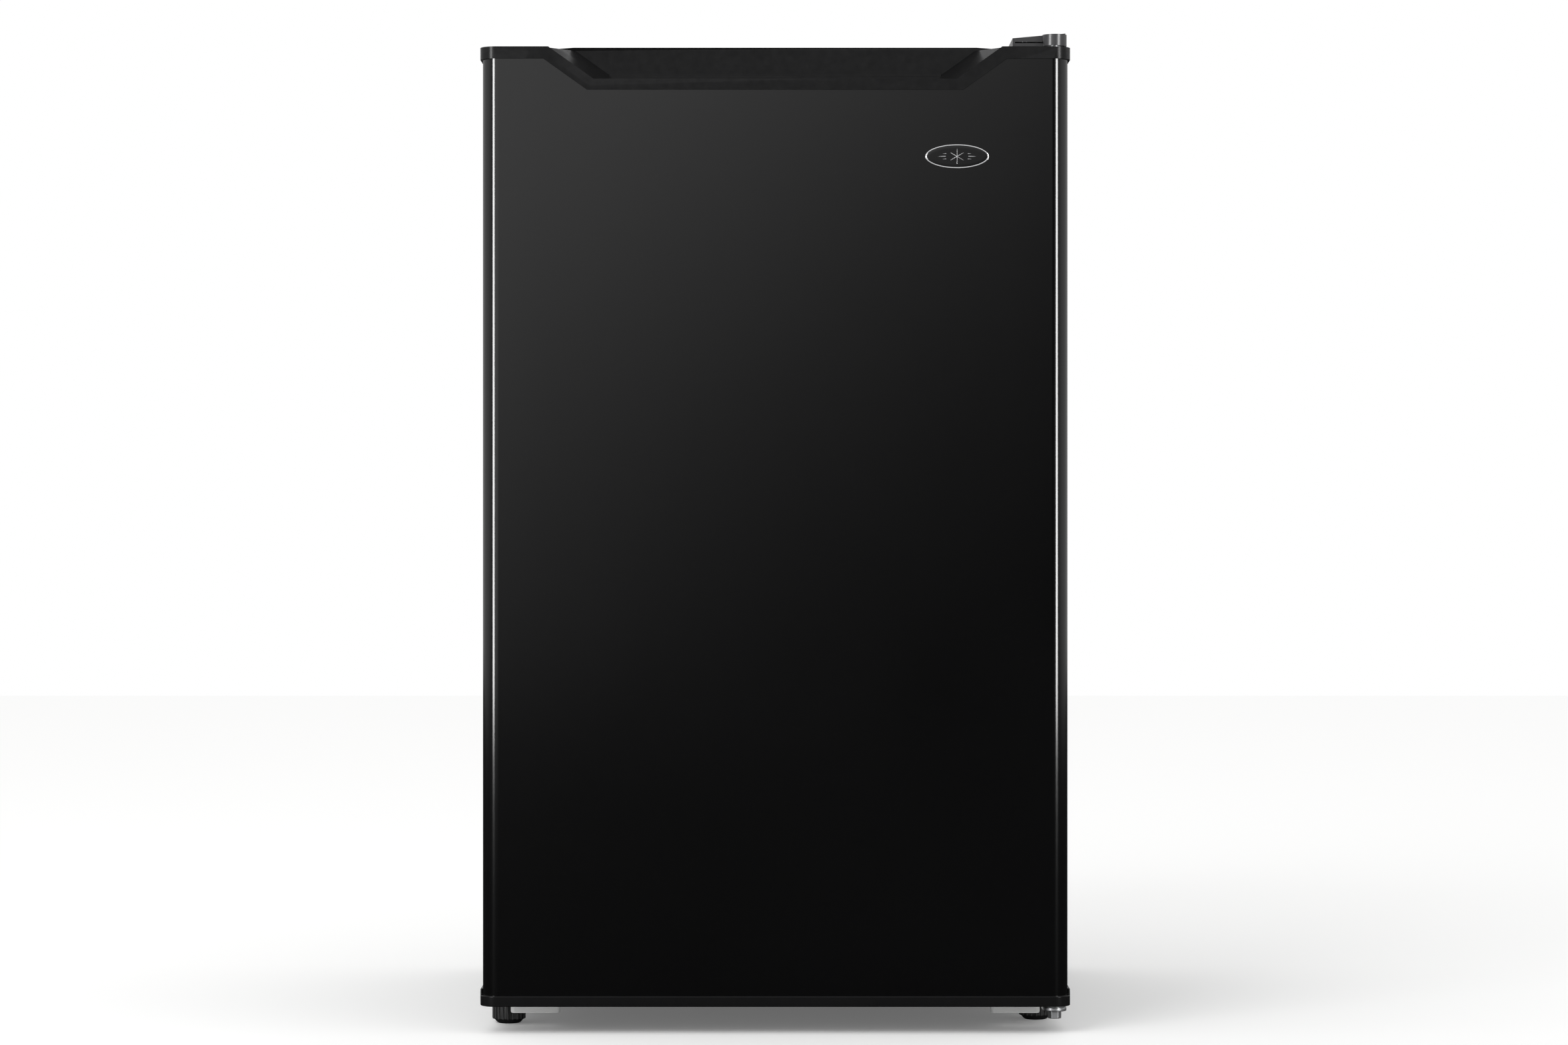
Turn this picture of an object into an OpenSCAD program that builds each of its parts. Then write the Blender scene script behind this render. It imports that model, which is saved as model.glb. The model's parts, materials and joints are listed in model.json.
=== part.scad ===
// Compact single-door refrigerator with a scooped pull in the door's top edge.
// Millimetres. +Z is up, the door faces -Y, the floor is Z = 0, and the
// footprint is centred on the origin.

/* [Cabinet] */
// Width across the side panels
cab_w = 490; // [480:1:510]
// Height from the base plate to the top panel
cab_h = 800; // [790:1:860]
// Depth from the front flange to the back panel
cab_d = 435; // [430:1:470]
// Height of the base plate above the floor
cab_lift = 24; // [24:1:28]
// Insulated side wall, from the outer face to the liner's face
wall_t = 38; // [34:1:42]
// Sheet steel thickness
sheet = 0.8; // [0.6:0.1:1]
// Thickness of the vacuum-formed liners
liner_t = 2; // [1.5:0.1:2.5]
// Width of the flange that the gasket seals on
flange = 20; // [18:1:22]

/* [Door] */
// Thickness of the door, without its gasket
door_t = 46; // [42:1:50]
// Gap that the gasket fills
gasket_t = 12; // [12:0.5:14]
// How far the end caps stand out beyond the cabinet on each side
cap_over = 2.5; // [2:0.1:4]
// Height of the end caps' front edge
cap_h = 10; // [9:0.5:12]
// Radius of the door's upright front edges
edge_r = 14; // [10:1:18]

/* [Pull] */
// Half width of the pull's lower edge
pull_half = 157.5; // [130:0.5:170]
// Depth that the pull dips below the top cap
pull_dip = 26; // [20:1:30]
// Sideways run of the pull's slanted ends for each unit of height
pull_slope = 1.404; // [1:0.01:1.5]
// Width of the raised rim round the pull
rim_w = 9; // [7:0.5:11]
// Height of the crown behind the pull
crown_h = 4; // [2:0.5:4]

/* [Inside] */
// Underside of the glass shelves, lower one first
shelf_z = [415, 526];
// Height of the drawer's cover plate
cover_z = 304; // [290:1:320]
// Height of the ledges that carry the drip tray
tray_z = 650; // [640:1:655]
// Thickness of the glass shelves
glass_t = 4; // [3:0.5:5]

/* [Machine room] */
// Depth of the compressor's room
room_d = 170; // [160:1:180]
// Height of the compressor's room above the floor
room_z = 190; // [185:1:200]
// Stand-off of the condenser behind the back panel
cond_gap = 27; // [27:1:35]
// Outer radius of the condenser tube
tube_r = 2.4; // [2:0.1:3]

/* [Hidden] */
$fn = 48;

// Colours
black_paint = "#202224";
black_plastic = "#17181a";
white_plastic = "#eceeec";
bare_steel = "#b4b8bc";
copper = "#b87344";
clear = [0.8, 0.9, 0.92, 0.45];

// Planes from front to back
total_d = door_t + gasket_t + cab_d + cond_gap;
y_front = -total_d / 2;
y_skin = y_front + 1;
y_door_back = y_front + door_t;
y_cab = y_door_back + gasket_t;
y_back = y_cab + cab_d;
y_rear = y_back + cond_gap;

// Planes from bottom to top
z_top = cab_lift + cab_h;
door_z = [cab_lift - 1, z_top + 2];
skin_z = [door_z[0] + cap_h - 1, door_z[1] - cap_h];
door_half = cab_w / 2 + cap_over;
skin_half = door_half - 2.1;

// Inside of the liner
in_half = cab_w / 2 - wall_t;
in_z = [cab_lift + 46, z_top - 40];
in_back = y_back - 45;
in_r = 16;
room_y = y_back - room_d;
hump_y = room_y - 37;
hump_z = room_z + 38;

// Door hinge line and its fit
hinge = [cab_w / 2 - 10, y_front + 22];
pin_r = 4;
run_gap = 0.06;
bush_r = 7;
boss_r = 9;
boss_h = 16;

// Top hinge: bent plate on the cabinet, arm above the door
strap_t = 2.5;
arm_z = z_top + 5;
cover_top = z_top + 16;
strap_half = 18;
strap_x = cab_w / 2 - 4 - strap_half;
arm_half = 8;

// Lower hinge: plate under the cabinet, arm below the door
low_arm_z = [door_z[0] - 5.5, door_z[0] - 2.5];
hex_r = 5.8;
hex_z = [door_z[0] - 12, low_arm_z[0]];

// Freezer
fz_front = -44;
fz_half = 190;
fz_z = [in_z[1] - 120, in_z[1] - 6];
fz_sheet = 1.6;
channel_r = 1.5;
flap_half = 179.5;
flap_t = 8;
flap_axis = [fz_front - 8, fz_z[1] - 12];
flap_pin_r = 2.5;
flap_z = [fz_z[0] + 4, flap_axis[1] + 6];

// Dike that stands on the door's inner face, and the door's bins
dike_half = [178, 192];
dike_z = [in_z[0] + 8, in_z[1] - 8];
dike_w = dike_half[1] - dike_half[0];
dike_back = y_door_back + 54;
bin_half = 174;
bin_back = y_door_back + 86;
bin_wall = 2.5;
bin_z = [100, 320, 545];
bin_h = [95, 70, 70];

// Shelves run between these planes
ledge_w = 10;
ledge_y = [-84, 170];
shelf_y = [-98, 182];

// Crisper drawer
drawer_half = 170;
drawer_y = [-100, 172];
drawer_wall = 2.5;
drawer_top = cover_z - 6;

// Thermostat on the right wall, its knob facing the middle of the fridge
thermo = [-60, 600];
thermo_x = 163;
knob_r = 17;
knob_t = 14;
shaft_r = 3;
button_r = 6;
button_travel = 3;

// Machine room
deck_t = 1.6;
comp = [30, y_back - 83];
comp_r = 62;
comp_wall = 10;
grommet_z = [cab_lift + deck_t, cab_lift + 14];
leg_z = [grommet_z[1], grommet_z[1] + 3];
comp_z = [leg_z[1], leg_z[1] + 127];
bolt_x = 70;
bolt_y = 44;

// Condenser
cond_y = y_rear - 4.8;
cond_half = 168;
cond_pitch = 35;
cond_runs = 15;
cond_z0 = 230;
wire_r = 0.8;
wire_pitch = 12;
wire_count = 29;
drop_x = 205;

// Feet: centre of each front one
foot_left = [-228, y_front + 80];
foot_right = [224.5, y_front + 105];
foot_r = 14.3;
foot_h = 18;
stud_r = 4;
rear_foot = [215, y_back - 28];

// Badge
badge_pos = [152, door_z[1] - 92];
badge_size = [53, 20];

// Box between two planes on each axis
module span(x, y, z) translate([x[0], y[0], z[0]]) cube([x[1] - x[0], y[1] - y[0], z[1] - z[0]]);

// Box that is symmetric about the middle plane
module mid_span(half, y, z) span([-half, half], y, z);

// Upright cylinder at p
module post(p, r, z) translate([p[0], p[1], z[0]]) cylinder(r = r, h = z[1] - z[0]);

// The same shape on both sides of the middle plane
module both_sides() {
    children();
    mirror([1, 0, 0]) children();
}

// Extrudes an outline drawn in X and Z along Y
module along_y(y) translate([0, y[1], 0]) rotate([90, 0, 0]) linear_extrude(y[1] - y[0]) children();

// Extrudes an outline drawn in Y and Z along X
module along_x(x) translate([x[0], 0, 0]) rotate([90, 0, 90]) linear_extrude(x[1] - x[0]) children();

// Rectangle with four round corners
module round_rect(x, y, r) {
    translate([x[0] + r, y[0]]) square([x[1] - x[0] - 2 * r, y[1] - y[0]]);
    translate([x[0], y[0] + r]) square([x[1] - x[0], y[1] - y[0] - 2 * r]);
    for (cx = [x[0] + r, x[1] - r], cy = [y[0] + r, y[1] - r]) translate([cx, cy]) circle(r);
}

// Inverted U: rectangle whose two upper corners are round
module arch(half, z, r) {
    translate([-half, z[0]]) square([2 * half, z[1] - z[0] - r]);
    translate([r - half, z[0]]) square([2 * (half - r), z[1] - z[0]]);
    for (s = [-1, 1]) translate([s * (half - r), z[1] - r]) circle(r);
}

// Plan of the door: rectangle whose two front corners are round
module door_plan(half, y, r) {
    translate([-half, y[0] + r]) square([2 * half, y[1] - y[0] - r]);
    translate([r - half, y[0]]) square([2 * (half - r), y[1] - y[0]]);
    for (s = [-1, 1]) translate([s * (half - r), y[0] + r]) circle(r);
}

// Upright prism on the door's plan
module door_block(half, y, r, z) translate([0, 0, z[0]]) linear_extrude(z[1] - z[0]) door_plan(half, y, r);

// Tube through a list of points, with a ball at each turn
module pipe(points, r) {
    for (i = [0 : len(points) - 2]) {
        run = points[i + 1] - points[i];
        flat = norm([run[0], run[1]]);
        translate(points[i]) rotate([0, atan2(flat, run[2]), atan2(run[1], run[0])]) cylinder(r = r, h = norm(run));
    }
    for (i = [1 : 1 : len(points) - 2]) translate(points[i]) sphere(r);
}

// ---- Cabinet ----

module cabinet_shell() color(black_paint) difference() {
    along_y([y_cab, y_back]) arch(cab_w / 2, [cab_lift, z_top], 8);
    along_y([y_cab + sheet, y_back + 1]) arch(cab_w / 2 - sheet, [cab_lift - 1, z_top - sheet], 8 - sheet);
    mid_span(cab_w / 2 - flange, [y_cab - 1, y_cab + 1], [cab_lift - 1, z_top - flange]);
}

module back_panel() color(black_paint) {
    along_y([y_back - sheet, y_back]) arch(cab_w / 2 - sheet, [room_z + sheet, z_top - sheet], 8 - sheet);
    both_sides() for (x = [60, 190]) span([x, x + 14], [y_back, y_back + 1.2], [room_z + 20, z_top - 30]);
}

module base_plate() color(bare_steel) difference() {
    union() {
        mid_span(cab_w / 2 - sheet, [y_cab + sheet, room_y], [cab_lift, cab_lift + sheet]);
        mid_span(cab_w / 2 - flange, [y_cab, y_cab + sheet], [cab_lift, cab_lift + flange]);
    }
    for (p = [foot_left, foot_right]) post(p, stud_r + run_gap, [cab_lift - 1, cab_lift + 2]);
}

module compartment_panel() color(bare_steel) {
    half = cab_w / 2 - sheet;
    mid_span(half, [room_y, room_y + sheet], [cab_lift, room_z]);
    mid_span(half, [room_y, y_back], [room_z, room_z + sheet]);
}

module compressor_deck() color(bare_steel) difference() {
    half = cab_w / 2 - sheet;
    union() {
        mid_span(half, [room_y + 3, y_back - 1], [cab_lift, cab_lift + deck_t]);
        mid_span(half, [room_y + 3, room_y + 3 + deck_t], [cab_lift, cab_lift + 12]);
        mid_span(half, [y_back - 1 - deck_t, y_back - 1], [cab_lift, cab_lift + 12]);
        span([-205, -155], [y_back - 1 - deck_t, y_back - 1], [cab_lift, cab_lift + 60]);
    }
    for (sx = [-1, 1], sy = [-1, 1])
        post([comp[0] + sx * bolt_x, comp[1] + sy * bolt_y], 3, [cab_lift - 1, cab_lift + 3]);
    gland_hole(6.5);
}

// Round hole through the deck's upright tab
module gland_hole(r) translate([-180, y_back - 10, cab_lift + 40]) rotate([-90, 0, 0]) cylinder(r = r, h = 20);

// Space taken by the liner and everything in it, or by the liner's inside
module liner_space(grow, front) {
    difference() {
        along_y([front, in_back + grow])
            round_rect([-in_half - grow, in_half + grow], [in_z[0] - grow, in_z[1] + grow], in_r + grow);
        along_x([-cab_w, cab_w])
            round_rect([hump_y + grow, y_back + 60], [-60, hump_z - grow], 14 - grow);
    }
}

module cabinet_foam() color("#e9dfae") difference() {
    along_y([y_cab + liner_t, y_back - sheet])
        arch(cab_w / 2 - sheet, [cab_lift + sheet, z_top - sheet], 8 - sheet);
    liner_space(liner_t, y_cab - 1);
    mid_span(cab_w, [room_y, y_back + 1], [cab_lift - 1, room_z + sheet]);
    for (p = [foot_left, foot_right]) post(p, stud_r + 1.5, [cab_lift, cab_lift + 26]);
}

// Ledge along one side wall, with its top at z
module ledge(z) both_sides() span([in_half - ledge_w, in_half + 0.5], ledge_y, [z - 6, z]);

module cabinet_liner() color(white_plastic) {
    difference() {
        union() {
            liner_space(liner_t, y_cab);
            along_y([y_cab, y_cab + liner_t])
                round_rect([flange - cab_w / 2, cab_w / 2 - flange], [cab_lift + flange, z_top - flange], 2);
        }
        liner_space(0, y_cab - 1);
    }
    for (z = concat(shelf_z, [cover_z, tray_z])) ledge(z);
}

// ---- Freezer ----

module evaporator_box() color("#c8ccd0") {
    half = fz_half - 4;
    difference() {
        along_y([fz_front + 10, in_back - 18]) round_rect([-half, half], fz_z, 10);
        along_y([fz_front + 9, in_back - 17])
            round_rect([fz_sheet - half, half - fz_sheet], [fz_z[0] + fz_sheet, fz_z[1] - fz_sheet], 10 - fz_sheet);
    }
    floor_z = fz_z[0] + fz_sheet;
    runs = [for (i = [0 : 4]) let (side = i % 2 == 0 ? 1 : -1)
        each [[-side * 150, i * 36, floor_z], [side * 150, i * 36, floor_z]]];
    pipe(runs, channel_r);
}

module evaporator_hangers() color(white_plastic)
    both_sides() for (y = [0, 140]) post([150, y], 6, [fz_z[1], in_z[1]]);

module freezer_frame() color(white_plastic) {
    difference() {
        along_y([fz_front, fz_front + 10]) round_rect([-fz_half, fz_half], [fz_z[0] - 2, fz_z[1] + 2], 10);
        along_y([fz_front - 1, fz_front + 11])
            round_rect([-fz_half + 18, fz_half - 18], [fz_z[0] + 12, fz_z[1] - 18], 8);
    }
    both_sides() difference() {
        span([flap_half + 1, flap_half + 7], [fz_front - 14, fz_front], [flap_axis[1] - 8, flap_axis[1] + 8]);
        flap_pivot(flap_pin_r + run_gap, [flap_half, flap_half + 8]);
    }
}

// Cylinder on the flap's hinge line
module flap_pivot(r, x) translate([x[0], flap_axis[0], flap_axis[1]]) rotate([0, 90, 0]) cylinder(r = r, h = x[1] - x[0]);

module freezer_flap() color("#f4f7f8") {
    y = [flap_axis[0] - flap_t / 2, flap_axis[0] + flap_t / 2];
    difference() {
        along_y(y) round_rect([-flap_half, flap_half], flap_z, 3);
        along_y([y[0] + 2, y[1] + 1])
            round_rect([3 - flap_half, flap_half - 3], [flap_z[0] + 3, flap_z[1] - 3], 3);
        along_y([y[0] - 1, y[1]]) round_rect([-45, 45], [flap_z[0] + 8, flap_z[0] + 26], 8);
    }
    difference() {
        along_y([y[0], y[1]]) round_rect([-47.5, 47.5], [flap_z[0] + 5.5, flap_z[0] + 28.5], 10);
        along_y([y[0] - 1, y[1] - 1.5]) round_rect([-45, 45], [flap_z[0] + 8, flap_z[0] + 26], 8);
    }
    both_sides() flap_pivot(flap_pin_r, [flap_half - 1, flap_half + 6]);
}

// Tray that hangs by its side rims and slides forward
module drip_tray() color("#dfeaf0") {
    half = 180;
    y = [fz_front, in_back - 22];
    z = [tray_z - 12, tray_z + 2.3];
    difference() {
        mid_span(half, y, z);
        mid_span(half - 2, [y[0] + 2, y[1] - 2], [z[0] + 2, z[1] + 1]);
    }
    both_sides() span([half - 1, in_half - 3], [ledge_y[0] + 40, y[1]], [tray_z + 0.3, tray_z + 2.3]);
    span([-40, 40], [y[0] - 6, y[0]], [z[1] - 4, z[1]]);
}

// ---- Shelves and drawer ----

module shelf_glass(z) color(clear) mid_span(in_half - 2, [shelf_y[0] + 3, shelf_y[1] - 3], [z, z + glass_t]);

// Front and rear trims that hold the glass, cut to fit it
module shelf_trims(z) color(white_plastic) difference() {
    union() {
        along_x([2 - in_half, in_half - 2])
            round_rect([shelf_y[0], shelf_y[0] + 13], [z - 5, z + glass_t + 4], 2.5);
        along_x([2 - in_half, in_half - 2])
            round_rect([shelf_y[1] - 9, shelf_y[1]], [z - 3, z + glass_t + 12], 2);
    }
    mid_span(in_half, [shelf_y[0] + 3, shelf_y[1] - 3], [z, z + glass_t]);
}

module drawer_cover() color(clear) {
    mid_span(in_half - 2, [shelf_y[0] + 2, shelf_y[1]], [cover_z, cover_z + 4]);
    mid_span(in_half - 14, [shelf_y[0] - 2, shelf_y[0] + 2], [cover_z - 4, cover_z + 6]);
}

// Side view of the drawer, stepped over the machine room
module drawer_side(inset, top) {
    low = in_z[0] + 1.5 + inset;
    step = hump_z + 1.5 + inset;
    y = [drawer_y[0] + inset, hump_y - 6 - inset, drawer_y[1] - inset];
    polygon([[y[0], low], [y[1], low], [y[1], step], [y[2], step], [y[2], top], [y[0], top]]);
}

module crisper_drawer() color(clear) {
    difference() {
        along_x([-drawer_half, drawer_half]) drawer_side(0, drawer_top);
        along_x([drawer_wall - drawer_half, drawer_half - drawer_wall]) drawer_side(drawer_wall, drawer_top + 1);
    }
    along_x([-60, 60]) round_rect([drawer_y[0] - 8, drawer_y[0] + 2], [drawer_top - 12, drawer_top], 2);
}

// ---- Thermostat ----

module thermostat_housing() color(white_plastic) difference() {
    x = [thermo_x, in_half];
    y = [thermo[0] - 45, thermo[0] + 45];
    z = [thermo[1] - 33, thermo[1] + 32];
    along_x(x) round_rect(y, z, 8);
    along_x([x[0] + 2, x[1] + 1]) round_rect([y[0] + 2, y[1] - 2], [z[0] + 2, z[1] - 2], 6);
    thermo_post(shaft_r + 2, [x[0] - 1, x[0] + 3]);
}

// Cylinder on the knob's turning line
module thermo_post(r, x) translate([x[0], thermo[0], thermo[1]]) rotate([0, 90, 0]) cylinder(r = r, h = x[1] - x[0]);

module thermostat_switch() color(bare_steel) difference() {
    x = thermo_x + 2;
    span([x, in_half - 8], [thermo[0] - 22, thermo[0] + 22], [thermo[1] - 16, thermo[1] + 16]);
    thermo_post(shaft_r + run_gap, [x - 1, x + 14]);
}

module thermostat_knob() color(white_plastic) difference() {
    face = thermo_x - 1 - knob_t;
    union() {
        thermo_post(knob_r, [face, thermo_x - 1]);
        thermo_post(shaft_r, [thermo_x - 2, thermo_x + 14]);
        for (a = [0 : 20 : 340])
            translate([face, thermo[0], thermo[1]]) rotate([a, 0, 0])
                translate([0, knob_r, 0]) rotate([0, 90, 0]) cylinder(r = 1, h = knob_t - 3);
    }
    thermo_post(button_r + run_gap, [face - 1, face + knob_t - 2]);
}

module defrost_button() color("#c23b34") {
    face = thermo_x - 1 - knob_t;
    thermo_post(button_r, [face - button_travel, face + 7]);
}

// ---- Machine room ----

module compressor_shell() color("#1c1d1f") translate([comp[0], comp[1], comp_z[0]]) {
    h = comp_z[1] - comp_z[0];
    difference() {
        dome_can(comp_r, h, 34);
        translate([0, 0, comp_wall]) dome_can(comp_r - comp_wall, h - 2 * comp_wall, 26);
    }
    translate([0, 0, h * 0.52]) difference() {
        cylinder(r = comp_r + 2.5, h = 4);
        translate([0, 0, -1]) cylinder(r = comp_r - 1, h = 6);
    }
}

// Upright can with large round shoulders
module dome_can(r, h, shoulder) rotate_extrude() {
    square([r - shoulder, h]);
    translate([0, shoulder]) square([r, h - 2 * shoulder]);
    intersection() {
        for (z = [shoulder, h - shoulder]) translate([r - shoulder, z]) circle(shoulder);
        square([r, h]);
    }
}

// The four places where the compressor is bolted down
module comp_corners() translate([comp[0], comp[1], 0])
    for (sx = [-1, 1], sy = [-1, 1]) translate([sx * bolt_x, sy * bolt_y, 0]) children();

module compressor_legs() color("#2a2b2d") difference() {
    translate([comp[0], comp[1], leg_z[0]]) linear_extrude(leg_z[1] - leg_z[0])
        round_rect([-bolt_x - 14, bolt_x + 14], [-bolt_y - 12, bolt_y + 12], 10);
    comp_corners() post([0, 0], 5, [leg_z[0] - 1, leg_z[1] + 1]);
}

module compressor_grommets() color("#101010") difference() {
    comp_corners() {
        post([0, 0], 10, grommet_z);
        post([0, 0], 5, [grommet_z[1], leg_z[1]]);
        post([0, 0], 8, [leg_z[1], leg_z[1] + 2]);
    }
    comp_corners() post([0, 0], 3, [grommet_z[0] - 1, leg_z[1] + 3]);
}

module compressor_bolts() color(bare_steel) comp_corners() {
    post([0, 0], 3, [cab_lift - 3, leg_z[1] + 6]);
    translate([0, 0, leg_z[1] + 2]) cylinder(r = 6, h = 4, $fn = 6);
    translate([0, 0, cab_lift - 4]) cylinder(r = 6, h = 4, $fn = 6);
}

module relay_cover() color("#141414") difference() {
    x = comp[0] - comp_r - 26;
    span([x, x + 36], [comp[1] - 24, comp[1] + 24], [comp_z[0] + 38, comp_z[0] + 96]);
    span([x + 2, x + 40], [comp[1] - 22, comp[1] + 22], [comp_z[0] + 40, comp_z[0] + 94]);
    post(comp, comp_r + 2.5, [0, 300]);
}

module suction_line() color(copper) {
    x = comp[0] + comp_r;
    z = comp_z[0] + 58;
    pipe([[x - 2, comp[1], z], [x + 30, comp[1], z], [x + 30, comp[1], room_z - 16],
        [x + 30, y_back - 26, room_z - 16], [x + 30, y_back - 26, room_z]], 3.2);
}

module discharge_line() color(copper) {
    y = comp[1] + comp_r;
    z = comp_z[0] + 48;
    top = cond_z0 + (cond_runs - 1) * cond_pitch;
    pipe([[-cond_half, cond_y, top], [-drop_x, cond_y, top], [-drop_x, cond_y, z + 20],
        [-drop_x, y_back - 8, z + 20], [-drop_x, y_back - 8, z],
        [comp[0], y_back - 8, z], [comp[0], y - 2, z]], tube_r);
}

module filter_dryer() color(copper) {
    p = [200, y_back - 20];
    translate([p[0], p[1], 62]) rotate_extrude()
        polygon([[0, 0], [2.6, 0], [9.5, 14], [9.5, 74], [2.6, 88], [0, 88]]);
    pipe([[p[0], p[1], 63], [p[0], p[1], 50], [p[0] - 26, p[1], 50], [p[0] - 26, p[1], room_z]], 1);
}

module condenser_tube() color("#1a1a1a") {
    for (i = [0 : cond_runs - 1])
        translate([-cond_half, cond_y, cond_z0 + i * cond_pitch]) rotate([0, 90, 0]) cylinder(r = tube_r, h = 2 * cond_half);
    for (i = [0 : cond_runs - 2]) {
        side = i % 2 == 0 ? -1 : 1;
        translate([side * cond_half, cond_y, cond_z0 + (i + 0.5) * cond_pitch]) rotate([90, 0, 0]) intersection() {
            rotate_extrude() translate([cond_pitch / 2, 0]) circle(tube_r);
            span([side > 0 ? 0 : -30, side > 0 ? 30 : 0], [-30, 30], [-5, 5]);
        }
    }
}

// Line that leads the liquid down from the lowest run into the filter dryer
module condenser_drop() color("#1a1a1a")
    pipe([[cond_half, cond_y, cond_z0], [drop_x - 5, cond_y, cond_z0], [drop_x - 5, cond_y, 160],
        [drop_x - 5, y_back - 20, 160], [drop_x - 5, y_back - 20, 149]], tube_r);

module condenser_wires() color("#1a1a1a")
    for (i = [0 : wire_count - 1], side = [-1, 1])
        post([(i - (wire_count - 1) / 2) * wire_pitch, cond_y + side * (tube_r + wire_r)], wire_r,
            [cond_z0 - 14, cond_z0 + (cond_runs - 1) * cond_pitch + 14]);

module condenser_brackets() color(black_plastic)
    both_sides() for (i = [1, cond_runs - 2]) {
        z = cond_z0 + i * cond_pitch;
        difference() {
            span([157.8, 166.2], [y_back, y_rear], [z - 9, z + 9]);
            translate([150, cond_y, z]) rotate([0, 90, 0]) cylinder(r = tube_r, h = 30);
        }
    }

module cord_gland() color("#111111") difference() {
    translate([-180, y_back - 7, cab_lift + 40]) rotate([-90, 0, 0]) {
        cylinder(r = 6.5, h = 16);
        cylinder(r = 9, h = 4.4);
        translate([0, 0, 6]) cylinder(r = 9, h = 6);
    }
    gland_hole(4);
}

// ---- Hinges ----

// Places of the upper hinge's screws
hinge_screws = [[strap_x - 10, y_cab + 12], [strap_x + 10, y_cab + 12], [strap_x, y_cab + 26]];

module top_hinge_bracket() color(bare_steel) difference() {
    union() {
        span([strap_x - strap_half, strap_x + strap_half], [y_cab + 1, y_cab + 34], [z_top, z_top + strap_t]);
        span([hinge[0] - arm_half, strap_x + strap_half], [y_cab - 1, y_cab + 1.5], [z_top, arm_z + strap_t]);
        span([hinge[0] - arm_half, strap_x + strap_half], [hinge[1], y_cab + 1], [arm_z, arm_z + strap_t]);
        post(hinge, arm_half, [arm_z, arm_z + strap_t]);
    }
    post(hinge, pin_r, [arm_z - 1, arm_z + 4]);
}

module top_hinge_pin() color(bare_steel) {
    post(hinge, pin_r, [door_z[1] - boss_h + 1, arm_z + strap_t]);
    post(hinge, 5.5, [door_z[1] + 0.4, arm_z]);
}

module top_hinge_cover() color(black_plastic) difference() {
    right = cab_w / 2 - 0.5;
    union() {
        along_y([hinge[1] + 4, y_cab + 38])
            polygon([[200, arm_z - 0.5], [200, cover_top - 4], [right, cover_top], [right, arm_z - 0.5]]);
        post(hinge, 10.2, [arm_z - 0.5, cover_top - 2]);
        span([200, right], [y_cab + 4, y_cab + 38], [z_top, arm_z]);
    }
    span([202, right - 2], [hinge[1] - 3, y_cab + 36], [z_top - 1, arm_z + strap_t + 1.5]);
    post(hinge, 8.5, [arm_z - 1, arm_z + strap_t + 1.5]);
    span([hinge[0] - 10.5, right - 1], [hinge[1] - 1, y_cab + 5], [z_top - 1, arm_z + strap_t + 1]);
}

module top_hinge_screws() color(bare_steel) for (p = hinge_screws) {
    post(p, 2, [z_top - 12, z_top + strap_t]);
    post(p, 4.2, [z_top + strap_t, z_top + strap_t + 2.4]);
}

module lower_hinge_bracket() color(bare_steel) difference() {
    x = [cab_w / 2 - 18, cab_w / 2 - 1];
    union() {
        span(x, [y_cab, y_cab + 28], [cab_lift - 3, cab_lift]);
        span(x, [y_cab - 3, y_cab], [low_arm_z[0], cab_lift]);
        span([hinge[0] - 10, hinge[0] + 9], [hinge[1], y_cab - 2], low_arm_z);
        post(hinge, 10, low_arm_z);
    }
    post(hinge, pin_r, [low_arm_z[0] - 1, low_arm_z[1] + 1]);
}

module lower_hinge_pin() color(bare_steel) {
    post(hinge, pin_r, [low_arm_z[0], door_z[0] + boss_h - 1]);
    translate([hinge[0], hinge[1], hex_z[0]]) cylinder(r = hex_r, h = hex_z[1] - hex_z[0], $fn = 6);
}

module lower_hinge_washers() color(bare_steel) difference() {
    post(hinge, 9, [low_arm_z[1], door_z[0] - 0.4]);
    post(hinge, pin_r, [low_arm_z[1] - 1, door_z[0] + 1]);
}

module lower_hinge_screws() color(bare_steel) for (y = [8, 20]) {
    p = [cab_w / 2 - 9.5, y_cab + y];
    post(p, 2, [cab_lift - 3, cab_lift + 12]);
    post(p, 4.2, [cab_lift - 5.4, cab_lift - 3]);
}

// Caps over the spare screw holes of the other hand
module hinge_hole_plugs() color(black_plastic)
    for (p = hinge_screws) post([-p[0], p[1]], 4.5, [z_top, z_top + 1.6]);

// ---- Base ----

module base_corner_blocks() color("#f2f2ee")
    both_sides() translate([0, 0, cab_lift - 13]) linear_extrude(13)
        round_rect([183, 225], [y_cab - 4, y_cab + 6], 4);

// Ribbed pad that is turned by hand
module foot_pad(p) color(black_plastic) translate([p[0], p[1], 0]) {
    rotate_extrude() {
        square([foot_r - 4, foot_h]);
        translate([0, 3]) square([foot_r - 1, foot_h - 4]);
        translate([foot_r - 4, 3]) intersection() {
            circle(3);
            translate([0, -3]) square([3, 3]);
        }
    }
    for (a = [0 : 18 : 342]) rotate([0, 0, a]) post([foot_r - 1, 0], 1, [3, foot_h - 1]);
}

module foot_stud(p) color(bare_steel) post(p, stud_r, [foot_h, cab_lift + 18]);

module rear_feet() color(black_plastic) both_sides() {
    post(rear_foot, 12, [0, cab_lift]);
    post(rear_foot, 5, [cab_lift + deck_t, cab_lift + deck_t + 3]);
}

// ---- Door ----

// Outline in X and Z of the pull's dip: wide at the top, narrow below
module dip(half, z) {
    run = pull_slope * (z[1] - z[0]);
    polygon([[-half - run, z[1]], [-half, z[0]], [half, z[0]], [half + run, z[1]]]);
}

pull_z = skin_z[1] - pull_dip;
scoop_z = pull_z - 5;
scoop_half = pull_half - 5 * pull_slope;
scoop_y = [y_front + 8, y_front + 32];
lip_half = pull_half - 5.5;
crown_half = pull_half + 21;

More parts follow.
